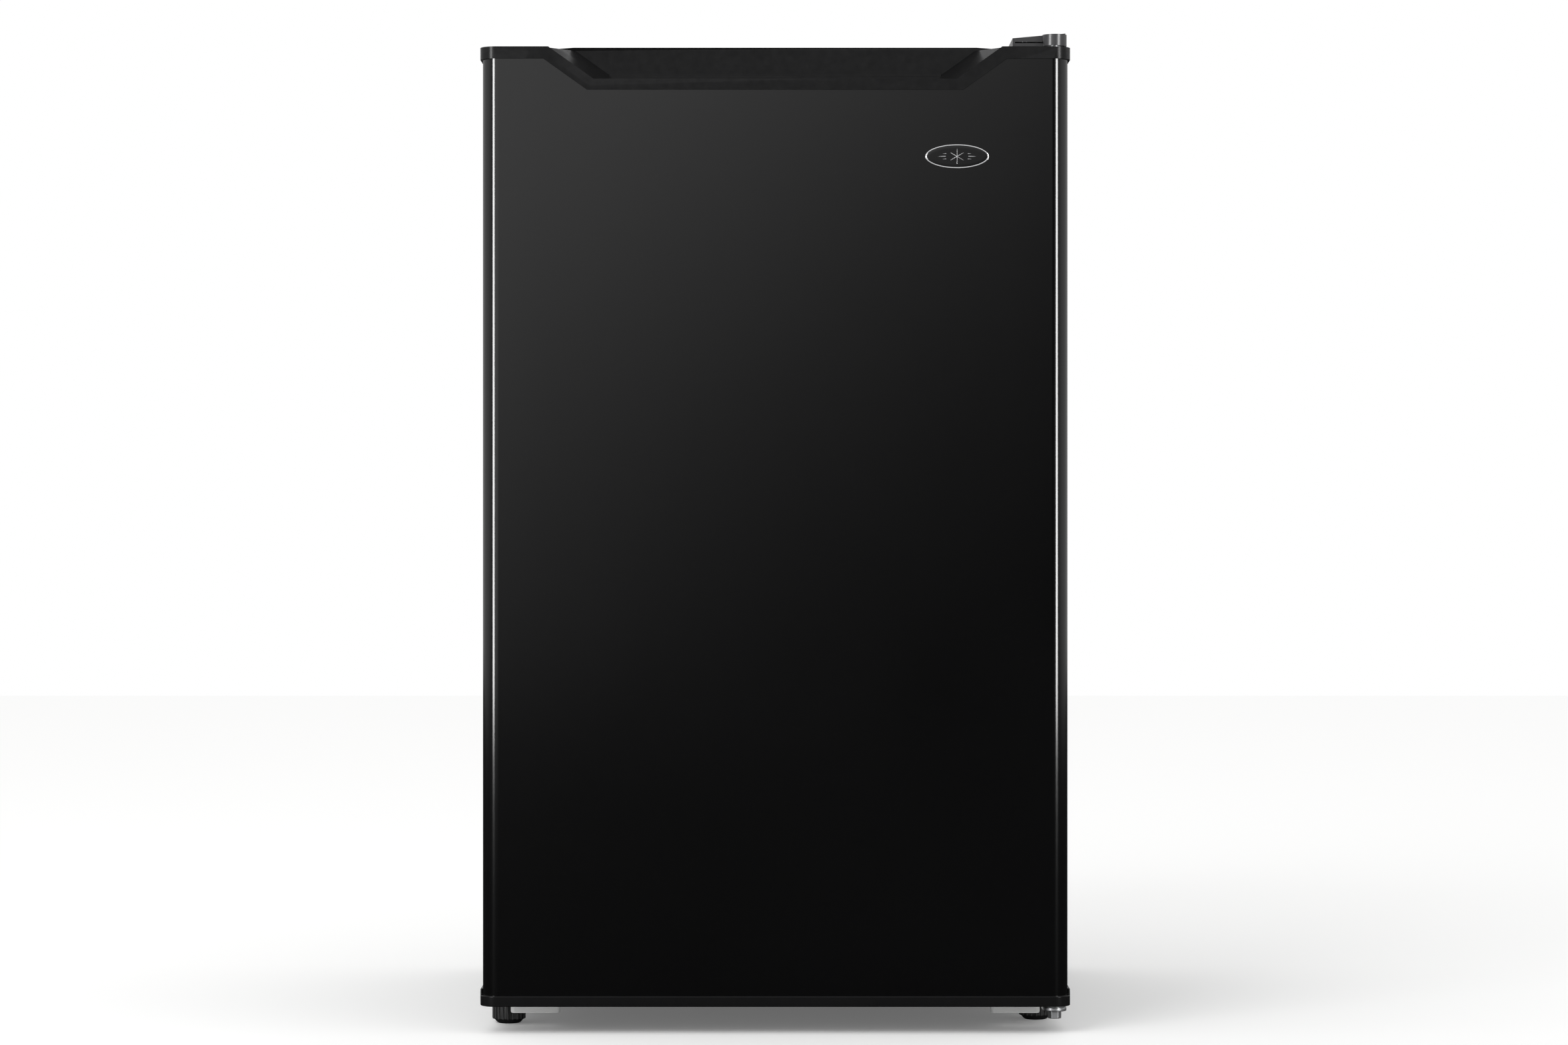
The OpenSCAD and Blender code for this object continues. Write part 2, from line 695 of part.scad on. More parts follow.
module door_skin() color(black_paint) difference() {
    door_block(skin_half, [y_skin, y_door_back], edge_r, skin_z);
    door_block(skin_half - sheet, [y_skin + sheet, y_door_back - sheet], edge_r - sheet,
        [skin_z[0] - 1, skin_z[1] + 1]);
    mid_span(skin_half - 11, [y_door_back - 2, y_door_back + 1], [skin_z[0] - 1, skin_z[1] + 1]);
    along_y([y_front - 1, y_skin + 2]) dip(pull_half, [pull_z, skin_z[1] + 1]);
}

// Solid that the scoop of the pull is sunk into
module scoop_body(top) along_y([y_skin + sheet, scoop_y[1] + 2.5]) dip(scoop_half, [scoop_z, top]);

module door_top_cap() color(black_plastic) difference() {
    union() {
        difference() {
            door_block(door_half, [y_front, y_door_back], edge_r, [skin_z[1], door_z[1]]);
            door_block(door_half - 2.5, [y_front + 2.5, y_door_back - 2.5], edge_r - 2.5,
                [skin_z[1] - 1, door_z[1] - 2.5]);
        }
        scoop_body(door_z[1]);
        along_y([y_front, y_skin + sheet]) dip(pull_half, [pull_z, door_z[1]]);
        along_y([scoop_y[1] + 0.1, y_door_back]) polygon([[-crown_half - 8, door_z[1] - 1],
            [-crown_half, door_z[1] + crown_h], [crown_half, door_z[1] + crown_h], [crown_half + 8, door_z[1] - 1]]);
        both_sides() post(hinge, boss_r, [door_z[1] - boss_h, door_z[1] - 1]);
    }
    hull() {
        along_y([scoop_y[0] - 0.1, scoop_y[0]]) dip(lip_half, [pull_z + rim_w, door_z[1] + 2]);
        along_y([scoop_y[1], scoop_y[1] + 0.1]) dip(lip_half - 13, [pull_z + rim_w + 6, door_z[1] + 1]);
    }
    along_y([y_front - 1, scoop_y[0]]) dip(lip_half, [pull_z + rim_w, door_z[1] + 2]);
    mid_span(lip_half - 13, [scoop_y[0] + 2, scoop_y[1] - 2], [scoop_z + 2.5, pull_z + rim_w + 8]);
    post(hinge, bush_r, [0, door_z[1] + 1]);
    mirror([1, 0, 0]) post(hinge, pin_r + 0.5, [0, door_z[1] - 2.5]);
}

module door_bottom_cap() color(black_plastic) difference() {
    union() {
        difference() {
            door_block(door_half, [y_front, y_door_back], edge_r, [door_z[0], skin_z[0]]);
            door_block(door_half - 2.5, [y_front + 2.5, y_door_back - 2.5], edge_r - 2.5,
                [door_z[0] + 2.5, skin_z[0] + 1]);
        }
        both_sides() span([skin_half, door_half], [y_front + edge_r, y_door_back], [door_z[0] + 1, skin_z[0] + 5]);
        both_sides() post(hinge, boss_r, [door_z[0] + 1, door_z[0] + boss_h]);
    }
    post(hinge, bush_r, [0, 100]);
    mirror([1, 0, 0]) post(hinge, pin_r + 0.5, [door_z[0] + 2.5, 100]);
}

module door_foam() color("#e9dfae") difference() {
    union() {
        door_block(skin_half - sheet, [y_skin + sheet, y_door_back - liner_t], edge_r - sheet, skin_z);
        dike(liner_t, y_door_back - liner_t - 1);
    }
    scoop_body(door_z[1]);
    both_sides() post(hinge, boss_r, [0, door_z[0] + boss_h]);
    both_sides() post(hinge, boss_r, [door_z[1] - boss_h, 1000]);
}

// Raised ring on the door's inner face, inset by the liner for the foam in it
module dike(inset, front) {
    difference() {
        along_y([front, dike_back - inset]) round_rect(
            [inset - dike_half[1], dike_half[1] - inset], [dike_z[0] + inset, dike_z[1] - inset], 14 - inset);
        along_y([front - 1, dike_back + 1]) round_rect(
            [-inset - dike_half[0], dike_half[0] + inset],
            [dike_z[0] + dike_w - inset, dike_z[1] - dike_w + inset], 8 + inset);
    }
}

module door_liner() color(white_plastic) {
    difference() {
        union() {
            mid_span(skin_half - 11, [y_door_back - liner_t, y_door_back], skin_z);
            dike(0, y_door_back - 1);
        }
        dike(liner_t, y_door_back - liner_t - 1);
    }
    both_sides() for (z = bin_z)
        span([bin_half - 8, dike_half[0] + 0.5], [y_door_back - 1, dike_back - 6], [z - 5, z]);
}

module door_gasket() color("#3a3c3e") difference() {
    half = hinge[0] + 3.5;
    z = [door_z[0] + 7, door_z[1] - 8];
    y = [y_door_back, y_cab - 0.3];
    along_y(y) round_rect([-half, half], z, 8);
    along_y([y[0] - 1, y[1] + 1]) round_rect([16 - half, half - 16], [z[0] + 16, z[1] - 16], 3);
    difference() {
        along_y([y[0] + 3, y[1] - 3]) round_rect([4 - half, half - 4], [z[0] + 4, z[1] - 4], 5);
        along_y([y[0] + 2, y[1] - 2]) round_rect([12 - half, half - 12], [z[0] + 12, z[1] - 12], 4);
    }
}

// Open bin whose floor is at z
module door_bin(z, h) color(clear) {
    y = [y_door_back + 0.5, bin_back];
    difference() {
        mid_span(bin_half, y, [z, z + h]);
        mid_span(bin_half - bin_wall, [y[0] + bin_wall, y[1] - bin_wall], [z + bin_wall, z + h + 1]);
        mid_span(bin_half - 24, [y[0] - 1, y[0] + bin_wall + 1], [z + 30, z + h + 1]);
    }
}

module badge() color("#c9ccd0") {
    x = [badge_pos[0] - badge_size[0] / 2, badge_pos[0] + badge_size[0] / 2];
    z = [badge_pos[1] - badge_size[1] / 2, badge_pos[1] + badge_size[1] / 2];
    difference() {
        along_y([y_front, y_skin]) round_rect(x, z, badge_size[1] / 2 - 0.05);
        along_y([y_front - 1, y_front + 0.5])
            round_rect([x[0] + 1.2, x[1] - 1.2], [z[0] + 1.2, z[1] - 1.2], badge_size[1] / 2 - 1.25);
    }
    along_y([y_front + 0.2, y_front + 0.6]) translate(badge_pos)
        for (a = [0, 60, 120]) rotate(a) square([12, 0.9], center = true);
}

module door_bushes() color("#d8d8d4") difference() {
    union() {
        post(hinge, bush_r, [door_z[0], door_z[0] + boss_h]);
        post(hinge, bush_r, [door_z[1] - boss_h, door_z[1]]);
    }
    post(hinge, pin_r + run_gap, [0, 1000]);
}

cabinet_shell();
back_panel();
base_plate();
compartment_panel();
compressor_deck();
cabinet_foam();
cabinet_liner();
evaporator_box();
evaporator_hangers();
freezer_frame();
freezer_flap();
drip_tray();
shelf_glass(shelf_z[0]);  // shelf_glass_lower
shelf_trims(shelf_z[0]);  // shelf_trims_lower
shelf_glass(shelf_z[1]);  // shelf_glass_upper
shelf_trims(shelf_z[1]);  // shelf_trims_upper
drawer_cover();
crisper_drawer();
thermostat_housing();
thermostat_switch();
thermostat_knob();
defrost_button();
compressor_shell();
compressor_legs();
compressor_grommets();
compressor_bolts();
relay_cover();
suction_line();
discharge_line();
filter_dryer();
condenser_tube();
condenser_drop();
condenser_wires();
condenser_brackets();
cord_gland();
top_hinge_bracket();
top_hinge_pin();
top_hinge_cover();
top_hinge_screws();
lower_hinge_bracket();
lower_hinge_pin();
lower_hinge_washers();
lower_hinge_screws();
hinge_hole_plugs();
base_corner_blocks();
foot_pad(foot_left);  // front_foot_left
foot_pad(foot_right);  // front_foot_right
foot_stud(foot_left);  // foot_stud_left
foot_stud(foot_right);  // foot_stud_right
rear_feet();
door_skin();
door_top_cap();
door_bottom_cap();
door_foam();
door_liner();
door_gasket();
door_bin(bin_z[2], bin_h[2]);  // door_bin_upper
door_bin(bin_z[1], bin_h[1]);  // door_bin_middle
door_bin(bin_z[0], bin_h[0]);  // door_bin_lower
badge();
door_bushes();
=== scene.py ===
"""Looks of a compact refrigerator with a scooped pull in the top edge of its door.

Sizes are in millimetres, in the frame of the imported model, and finished meshes are in metres.
"""

import json
import logging
import math
from collections.abc import Callable, Iterable, Sequence
from dataclasses import dataclass
from enum import Enum

import bmesh
import bpy
from mathutils import Matrix, Vector

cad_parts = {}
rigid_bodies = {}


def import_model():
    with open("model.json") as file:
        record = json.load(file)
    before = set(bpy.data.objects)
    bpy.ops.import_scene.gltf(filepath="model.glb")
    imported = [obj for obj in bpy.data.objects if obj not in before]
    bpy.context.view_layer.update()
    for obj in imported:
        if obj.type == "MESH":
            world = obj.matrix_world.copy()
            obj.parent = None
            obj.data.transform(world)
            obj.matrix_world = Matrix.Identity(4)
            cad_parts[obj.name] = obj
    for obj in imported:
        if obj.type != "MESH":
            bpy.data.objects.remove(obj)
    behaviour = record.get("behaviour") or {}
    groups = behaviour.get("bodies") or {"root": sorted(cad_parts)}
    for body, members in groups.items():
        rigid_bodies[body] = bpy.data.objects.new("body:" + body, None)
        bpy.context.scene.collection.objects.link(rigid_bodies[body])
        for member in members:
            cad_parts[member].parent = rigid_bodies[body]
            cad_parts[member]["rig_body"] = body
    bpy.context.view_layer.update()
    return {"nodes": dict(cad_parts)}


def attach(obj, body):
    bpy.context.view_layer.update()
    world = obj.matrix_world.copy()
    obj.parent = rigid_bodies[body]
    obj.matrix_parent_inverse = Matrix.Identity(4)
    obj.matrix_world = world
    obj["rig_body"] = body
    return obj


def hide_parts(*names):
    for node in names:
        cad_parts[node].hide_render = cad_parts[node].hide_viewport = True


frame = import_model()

LOG = logging.getLogger("fridge")
MM = 0.001
Span = tuple[float, float]
Point = tuple[float, float, float]
Colour = tuple[float, float, float]


# ---- Finishes ----


class Texture(Enum):
    """Small relief of a surface: scale per metre, stretch, share of cells, depth in millimetres."""

    ORANGE_PEEL = (260.0, (1.0, 1.0, 1.0), 0.0, 0.012)
    SATIN_PEEL = (420.0, (1.0, 1.0, 1.0), 0.15, 0.05)
    MOULDED = (1500.0, (1.0, 1.0, 1.0), 0.35, 0.03)
    VACUUM_FORMED = (90.0, (1.0, 1.0, 1.0), 0.0, 0.05)
    BRUSHED = (2600.0, (0.03, 1.0, 1.0), 0.0, 0.01)
    ROLLED = (900.0, (1.0, 0.02, 1.0), 0.0, 0.012)
    DRAWN = (1400.0, (1.0, 1.0, 0.05), 0.1, 0.01)
    CELLS = (520.0, (1.0, 1.0, 1.0), 0.85, 0.5)
    EXTRUDED = (700.0, (0.05, 1.0, 0.05), 0.1, 0.03)


class Graph:
    """Adds and joins nodes in one shader tree."""

    def __init__(self, tree: bpy.types.NodeTree) -> None:
        """Args:
            tree: The node tree that is filled.
        """
        self.tree = tree

    def add(self, kind: str, settings: dict | None = None, **inputs: object) -> bpy.types.Node:
        """Adds one node.

        Args:
            kind: The node's type without its ShaderNode prefix.
            settings: Properties of the node itself.
            inputs: Input values or output sockets, named as the sockets with _ for a space.

        Returns:
            The new node.
        """
        node = self.tree.nodes.new("ShaderNode" + kind)
        for name, value in (settings or {}).items():
            setattr(node, name, value)
        for name, value in inputs.items():
            self.feed(node, name.replace("_", " "), value)
        return node

    def feed(self, node: bpy.types.Node, name: str | int, value: object) -> None:
        """Sets one input or links a socket to it."""
        if isinstance(value, bpy.types.NodeSocket):
            self.tree.links.new(value, node.inputs[name])
        else:
            node.inputs[name].default_value = value

    def math(self, operation: str, first: object, second: object = 0.0,
             clamp: bool = False) -> bpy.types.NodeSocket:
        """Adds a Math node and returns its output."""
        node = self.add("Math", {"operation": operation, "use_clamp": clamp})
        self.feed(node, 0, first)
        self.feed(node, 1, second)
        return node.outputs[0]

    def blend(self, factor: object, first: object, second: object) -> bpy.types.NodeSocket:
        """Adds a colour Mix node and returns its output."""
        node = self.add("Mix", {"data_type": "RGBA"})
        for index, value in ((0, factor), (6, first), (7, second)):
            self.feed(node, index, value)
        return node.outputs[2]

    def ramp(self, factor: object, stops: Sequence[tuple[float, float]]) -> bpy.types.NodeSocket:
        """Adds a grey ColorRamp and returns its output.

        Args:
            factor: What the ramp reads.
            stops: Pairs of position and brightness.

        Returns:
            The ramp's colour output.
        """
        node = self.add("ValToRGB")
        elements = node.color_ramp.elements
        while len(elements) < len(stops):
            elements.new(0.5)
        for element, (position, grey) in zip(elements, stops):
            element.position = position
            element.color = (grey, grey, grey, 1)
        self.feed(node, 0, factor)
        return node.outputs[0]

    def group(self, tree: bpy.types.NodeTree, **inputs: object) -> bpy.types.Node:
        """Places a node group with its own input values."""
        return self.add("Group", {"node_tree": tree}, **inputs)


class SurfaceEffects:
    """The node groups that every finish shares."""

    def __init__(self) -> None:
        """Builds each group once."""
        self.grain = self.make_grain()
        self.handling = self.make_handling()
        self.tone = self.make_tone()
        self.edges = self.make_edges()
        self.dust = self.make_dust()

    @staticmethod
    def begin(name: str, inputs: dict[str, str], output: str,
              kind: str) -> tuple[Graph, bpy.types.Node, bpy.types.Node]:
        """Starts a group.

        Args:
            name: The group's name.
            inputs: Socket name to socket kind.
            output: Name of its one output.
            kind: Kind of that output.

        Returns:
            The graph, its input node and its output node.
        """
        tree = bpy.data.node_groups.new(name, "ShaderNodeTree")
        for label, socket in inputs.items():
            tree.interface.new_socket(name=label, in_out="INPUT", socket_type="NodeSocket" + socket)
        tree.interface.new_socket(name=output, in_out="OUTPUT", socket_type="NodeSocket" + kind)
        graph = Graph(tree)
        return graph, tree.nodes.new("NodeGroupInput"), tree.nodes.new("NodeGroupOutput")

    def make_grain(self) -> bpy.types.NodeTree:
        """Relief that runs from soft noise to closed cells, stretched along an axis."""
        graph, given, out = self.begin(
            "surface_grain", {"Scale": "Float", "Stretch": "Vector", "Cells": "Float"}, "Height", "Float")
        place = graph.add("TexCoord").outputs["Object"]
        moved = graph.add("Mapping", None, Vector=place, Scale=given.outputs["Stretch"])
        noise = graph.add("TexNoise", None, Vector=moved.outputs[0], Scale=given.outputs["Scale"],
                          Detail=3.0, Roughness=0.55)
        cells = graph.add("TexVoronoi", None, Vector=moved.outputs[0], Scale=given.outputs["Scale"])
        mix = graph.add("Mix", {"data_type": "FLOAT"})
        for index, value in ((0, given.outputs["Cells"]), (2, noise.outputs[0]),
                             (3, cells.outputs["Distance"])):
            graph.feed(mix, index, value)
        graph.feed(out, "Height", mix.outputs[0])
        return graph.tree

    def make_handling(self) -> bpy.types.NodeTree:
        """Roughness that varies where hands and cloths have passed."""
        graph, given, out = self.begin(
            "handling", {"Base": "Float", "Amount": "Float", "Scale": "Float"}, "Roughness", "Float")
        place = graph.add("TexCoord").outputs["Object"]
        wide = graph.add("TexNoise", None, Vector=place, Scale=given.outputs["Scale"], Detail=4.0,
                         Distortion=0.6)
        fine = graph.add("TexNoise", None, Vector=place,
                         Scale=graph.math("MULTIPLY", given.outputs["Scale"], 9.0), Detail=2.0)
        both = graph.math("ADD", graph.math("SUBTRACT", wide.outputs[0], 0.5),
                          graph.math("MULTIPLY", graph.math("SUBTRACT", fine.outputs[0], 0.5), 0.4))
        graph.feed(out, "Roughness", graph.math(
            "ADD", given.outputs["Base"], graph.math("MULTIPLY", both, given.outputs["Amount"]), True))
        return graph.tree

    def make_tone(self) -> bpy.types.NodeTree:
        """Colour that drifts a little lighter and darker over a piece."""
        graph, given, out = self.begin(
            "tone", {"Colour": "Color", "Amount": "Float", "Scale": "Float"}, "Colour", "Color")
        place = graph.add("TexCoord").outputs["Object"]
        noise = graph.add("TexNoise", None, Vector=place, Scale=given.outputs["Scale"], Detail=5.0)
        swing = graph.math("MULTIPLY", given.outputs["Amount"], 3.0)
        drift = graph.math("MULTIPLY", graph.math("SUBTRACT", noise.outputs[0], 0.5), swing)
        lift = graph.math("ADD", 1.0, drift)
        scaled = graph.add("VectorMath", {"operation": "SCALE"}, Scale=lift)
        graph.feed(scaled, 0, given.outputs["Colour"])
        graph.feed(out, "Colour", scaled.outputs[0])
        return graph.tree

    def make_edges(self) -> bpy.types.NodeTree:
        """Mask of the proud edges, broken up by noise."""
        graph, given, out = self.begin("edge_wear", {"Amount": "Float"}, "Mask", "Float")
        proud = graph.ramp(graph.add("NewGeometry").outputs["Pointiness"], ((0.52, 0.0), (0.6, 1.0)))
        place = graph.add("TexCoord").outputs["Object"]
        noise = graph.add("TexNoise", None, Vector=place, Scale=160.0, Detail=4.0)
        broken = graph.math("MULTIPLY", proud, noise.outputs[0])
        graph.feed(out, "Mask", graph.math("MULTIPLY", broken, given.outputs["Amount"], True))
        return graph.tree

    def make_dust(self) -> bpy.types.NodeTree:
        """Mask of what settles on the faces that look up."""
        graph, given, out = self.begin("settled_dust", {"Amount": "Float"}, "Mask", "Float")
        coordinates = graph.add("TexCoord")
        up = graph.add("SeparateXYZ", None, Vector=coordinates.outputs["Normal"]).outputs[2]
        noise = graph.add("TexNoise", None, Vector=coordinates.outputs["Object"], Scale=14.0, Detail=6.0,
                          Roughness=0.7)
        flat = graph.math("SUBTRACT", up, 0.35, True)
        share = graph.math("MULTIPLY", flat, graph.math("SUBTRACT", noise.outputs[0], 0.25, True))
        graph.feed(out, "Mask", graph.math(
            "MULTIPLY", graph.math("MULTIPLY", share, 4.0), given.outputs["Amount"], True))
        return graph.tree


@dataclass(frozen=True)
class Finish:
    """One material and how it varies over a piece."""

    slot: str
    colour: Colour
    roughness: float
    texture: Texture
    metallic: float = 0.0
    transmission: float = 0.0
    ior: float = 1.5
    tone: float = 0.04
    tone_scale: float = 7.0
    handling: float = 0.06
    handling_scale: float = 11.0
    wear: float = 0.0
    dust: float = 0.0
    relief: float = 1.0
    glow_through: float = 0.0
    shine: float = 0.5
    label: str = ""

    @property
    def name(self) -> str:
        """The material's name."""
        return self.label or self.slot

    def material(self, effects: SurfaceEffects) -> bpy.types.Material:
        """Builds the material once and returns it after that.

        Args:
            effects: The shared node groups.

        Returns:
            The Blender material.
        """
        found = bpy.data.materials.get("finish_" + self.name)
        if found:
            return found
        made = bpy.data.materials.new("finish_" + self.name)
        made.use_nodes = True
        graph = Graph(made.node_tree)
        shader = made.node_tree.nodes["Principled BSDF"]
        scale, stretch, cells, depth = self.texture.value
        colour = graph.group(effects.tone, Colour=(*self.colour, 1), Amount=self.tone,
                             Scale=self.tone_scale).outputs[0]
        rough = graph.group(effects.handling, Base=self.roughness, Amount=self.handling,
                            Scale=self.handling_scale).outputs[0]
        if self.wear:
            mask = graph.group(effects.edges, Amount=self.wear).outputs[0]
            worn = tuple(min(1.0, 0.05 + c * 1.6) for c in self.colour)
            colour = graph.blend(mask, colour, (*worn, 1))
        if self.dust:
            mask = graph.group(effects.dust, Amount=self.dust).outputs[0]
            colour = graph.blend(mask, colour, (0.32, 0.31, 0.29, 1))
            rough = graph.math("ADD", rough, graph.math("MULTIPLY", mask, 0.4), True)
        height = graph.group(effects.grain, Scale=scale, Stretch=stretch, Cells=cells).outputs[0]
        bump = graph.add("Bump", None, Height=height, Strength=1.0, Distance=depth * self.relief * MM)
        graph.feed(shader, "Base Color", colour)
        graph.feed(shader, "Roughness", rough)
        graph.feed(shader, "Normal", bump.outputs[0])
        for socket, value in (("Metallic", self.metallic), ("Transmission Weight", self.transmission),
                              ("IOR", self.ior), ("Subsurface Weight", self.glow_through),
                              ("Specular IOR Level", self.shine)):
            shader.inputs[socket].default_value = value
        if self.glow_through:
            shader.inputs["Subsurface Radius"].default_value = (1.0, 0.9, 0.8)
            shader.inputs["Subsurface Scale"].default_value = 0.002
        made.diffuse_color = (*self.colour, 1)
        return made


CABINET_PAINT = Finish("cabinet_paint", (0.010, 0.0102, 0.0108), 0.36, Texture.SATIN_PEEL, tone=0.06,
                       handling=0.12, dust=0.25, wear=0.15)
DOOR_PAINT = Finish("door_paint", (0.0018, 0.0018, 0.0019), 0.13, Texture.ORANGE_PEEL, tone=0.1,
                    handling=0.03, handling_scale=6.0, relief=0.12)
GLOSS_BLACK = Finish("gloss_black", (0.0058, 0.0058, 0.0060), 0.24, Texture.MOULDED, tone=0.12, handling=0.08,
                     wear=0.2, relief=0.12, shine=0.12)
HINGE_GREY = Finish("hinge_cover_grey", (0.035, 0.035, 0.037), 0.3, Texture.MOULDED, tone=0.08, wear=0.2,
                    relief=0.5)
MATTE_BLACK = Finish("matte_black", (0.010, 0.010, 0.0105), 0.42, Texture.MOULDED, tone=0.12, wear=0.3,
                     dust=0.1)
WHITE_LINER = Finish("white_liner", (0.83, 0.84, 0.82), 0.27, Texture.VACUUM_FORMED, tone=0.006,
                     handling=0.03, glow_through=0.05)
WHITE_PLASTIC = Finish("white_plastic", (0.86, 0.865, 0.855), 0.3, Texture.MOULDED, tone=0.015, relief=0.6)
FROSTED = Finish("frosted_plastic", (0.80, 0.90, 0.94), 0.42, Texture.MOULDED, transmission=0.55, tone=0.02)
CLEAR = Finish("clear_plastic", (0.93, 0.97, 0.98), 0.05, Texture.VACUUM_FORMED, transmission=1.0, ior=1.49,
               tone=0.01, handling=0.05, relief=0.2)
GLASS = Finish("shelf_glass", (0.86, 0.95, 0.92), 0.02, Texture.VACUUM_FORMED, transmission=1.0, ior=1.52,
               tone=0.01, handling=0.02, relief=0.03)
FOAM = Finish("foam", (0.70, 0.60, 0.33), 0.9, Texture.CELLS, tone=0.12)
ZINC = Finish("zinc_steel", (0.60, 0.61, 0.62), 0.34, Texture.ROLLED, metallic=1.0, tone=0.07,
              tone_scale=30.0, handling=0.16, wear=0.2)
BADGE_METAL = Finish("badge_metal", (0.80, 0.80, 0.81), 0.22, Texture.BRUSHED, metallic=1.0)
BADGE_FACE = Finish("badge_metal", (0.004, 0.004, 0.0042), 0.12, Texture.ORANGE_PEEL, tone=0.05,
                    relief=0.1, label="badge_face")
ALUMINIUM = Finish("evaporator_aluminium", (0.76, 0.77, 0.78), 0.4, Texture.ROLLED, metallic=1.0, tone=0.06,
                   handling=0.12)
COPPER = Finish("copper_pipe", (0.72, 0.36, 0.21), 0.3, Texture.DRAWN, metallic=1.0, tone=0.22,
                tone_scale=40.0, handling=0.2)
ENAMEL = Finish("black_enamel", (0.009, 0.009, 0.0095), 0.28, Texture.SATIN_PEEL, tone=0.1, dust=0.35,
                wear=0.2)
VINYL = Finish("gasket_vinyl", (0.016, 0.016, 0.017), 0.45, Texture.EXTRUDED, tone=0.08, dust=0.1)
RUBBER = Finish("black_rubber", (0.013, 0.013, 0.013), 0.72, Texture.MOULDED, tone=0.1, dust=0.2)
RED = Finish("red_plastic", (0.50, 0.030, 0.022), 0.24, Texture.MOULDED, tone=0.05, relief=0.4)


# ---- Shaping ----


class Shape:
    """A mesh that is being shaped with bmesh operators, in millimetres."""

    def __init__(self) -> None:
        """Starts empty."""
        self.bm = bmesh.new()

    def corner(self, *points: Point) -> list[bmesh.types.BMVert]:
        """Adds loose vertices."""
        return [self.bm.verts.new(p) for p in points]

    def path(self, points: Iterable[Point]) -> list[bmesh.types.BMEdge]:
        """Adds a line of edges through a few points."""
        verts = self.corner(*points)
        return [self.bm.edges.new(pair) for pair in zip(verts, verts[1:])]

    def sweep(self, edges: Sequence[bmesh.types.BMEdge], move: Point) -> list[bmesh.types.BMVert]:
        """Extrudes edges into a sheet and returns the moved vertices."""
        made = bmesh.ops.extrude_edge_only(self.bm, edges=edges)["geom"]
        verts = [g for g in made if isinstance(g, bmesh.types.BMVert)]
        bmesh.ops.translate(self.bm, verts=verts, vec=move)
        return verts

    def push(self, faces: Sequence[bmesh.types.BMFace], move: Point) -> list[bmesh.types.BMFace]:
        """Extrudes faces together and returns the moved faces."""
        made = bmesh.ops.extrude_face_region(self.bm, geom=list(faces))["geom"]
        verts = [g for g in made if isinstance(g, bmesh.types.BMVert)]
        bmesh.ops.translate(self.bm, verts=verts, vec=move)
        bmesh.ops.delete(self.bm, geom=[f for f in faces if f.is_valid], context="FACES_ONLY")
        return [g for g in made if isinstance(g, bmesh.types.BMFace)]

    def bevel(self, edges: Iterable[bmesh.types.BMEdge], width: float, segments: int = 3) -> None:
        """Rounds edges."""
        bmesh.ops.bevel(self.bm, geom=list(edges), offset=width, offset_type="OFFSET", affect="EDGES",
                        segments=segments, profile=0.5, clamp_overlap=True, material=-1)

    def sharp(self, degrees: float = 30.0) -> list[bmesh.types.BMEdge]:
        """Edges between two faces that turn by more than an angle."""
        self.bm.normal_update()
        limit = math.radians(degrees)
        return [e for e in self.bm.edges if len(e.link_faces) == 2 and e.calc_face_angle(0.0) > limit]

    def box(self, x: Span, y: Span, z: Span, radius: float = 0.0, segments: int = 3) -> "Shape":
        """Adds a box between planes, with rounded edges if a radius is given.

        Args:
            x, y, z: Lowest and highest plane on each axis.
            radius: Radius of its edges.
            segments: Faces across each rounded edge.

        Returns:
            This shape.
        """
        spans = (x, y, z)
        place = Matrix.Translation([(a + b) / 2 for a, b in spans])
        size = Matrix.Diagonal([b - a for a, b in spans] + [1])
        made = bmesh.ops.create_cube(self.bm, size=1.0, matrix=place @ size)["verts"]
        if radius:
            self.bevel({e for v in made for e in v.link_edges}, radius, segments)
        return self

    def rod(self, start: Point, end: Point, radius: float, end_radius: float | None = None, sides: int = 32,
            rounding: float = 0.0) -> "Shape":
        """Adds a round bar or cone between two points.

        Args:
            start, end: Centres of its two ends.
            radius: Radius at the start.
            end_radius: Radius at the end, if it tapers.
            sides: Number of faces round it.
            rounding: Radius of its end edges.

        Returns:
            This shape.
        """
        a, b = Vector(start), Vector(end)
        turn = (b - a).to_track_quat("Z", "Y").to_matrix().to_4x4()
        made = bmesh.ops.create_cone(
            self.bm, cap_ends=True, cap_tris=False, segments=sides, radius1=radius,
            radius2=radius if end_radius is None else end_radius, depth=(b - a).length,
            matrix=Matrix.Translation((a + b) / 2) @ turn)["verts"]
        if rounding:
            self.bm.normal_update()
            rims = {e for v in made for e in v.link_edges if e.calc_face_angle(0.0) > 1.0}
            self.bevel(rims, rounding, 3)
        return self

    def revolve(self, profile: Iterable[Span], centre: Point, steps: int = 48) -> "Shape":
        """Spins an outline of radius and height about an upright axis.

        Args:
            profile: Pairs of radius and height above the centre.
            centre: A point on the axis.
            steps: Number of faces round it.

        Returns:
            This shape.
        """
        x, y, z = centre
        edges = self.path((x + r, y, z + h) for r, h in profile)
        verts = list({v for e in edges for v in e.verts})
        bmesh.ops.spin(self.bm, geom=verts + edges, cent=centre, axis=(0, 0, 1), angle=2 * math.pi,
                       steps=steps, use_merge=True)
        return self

    def prism(self, points: Sequence[Point], move: Point, radius: float = 0.0, segments: int = 3) -> "Shape":
        """Extrudes a flat outline into a closed block."""
        before = set(self.bm.edges)
        face = self.bm.faces.new(self.corner(*points))
        made = bmesh.ops.extrude_face_region(self.bm, geom=[face])["geom"]
        bmesh.ops.translate(self.bm, verts=[g for g in made if isinstance(g, bmesh.types.BMVert)], vec=move)
        if radius:
            self.bevel([e for e in self.sharp() if e not in before], radius, segments)
        return self

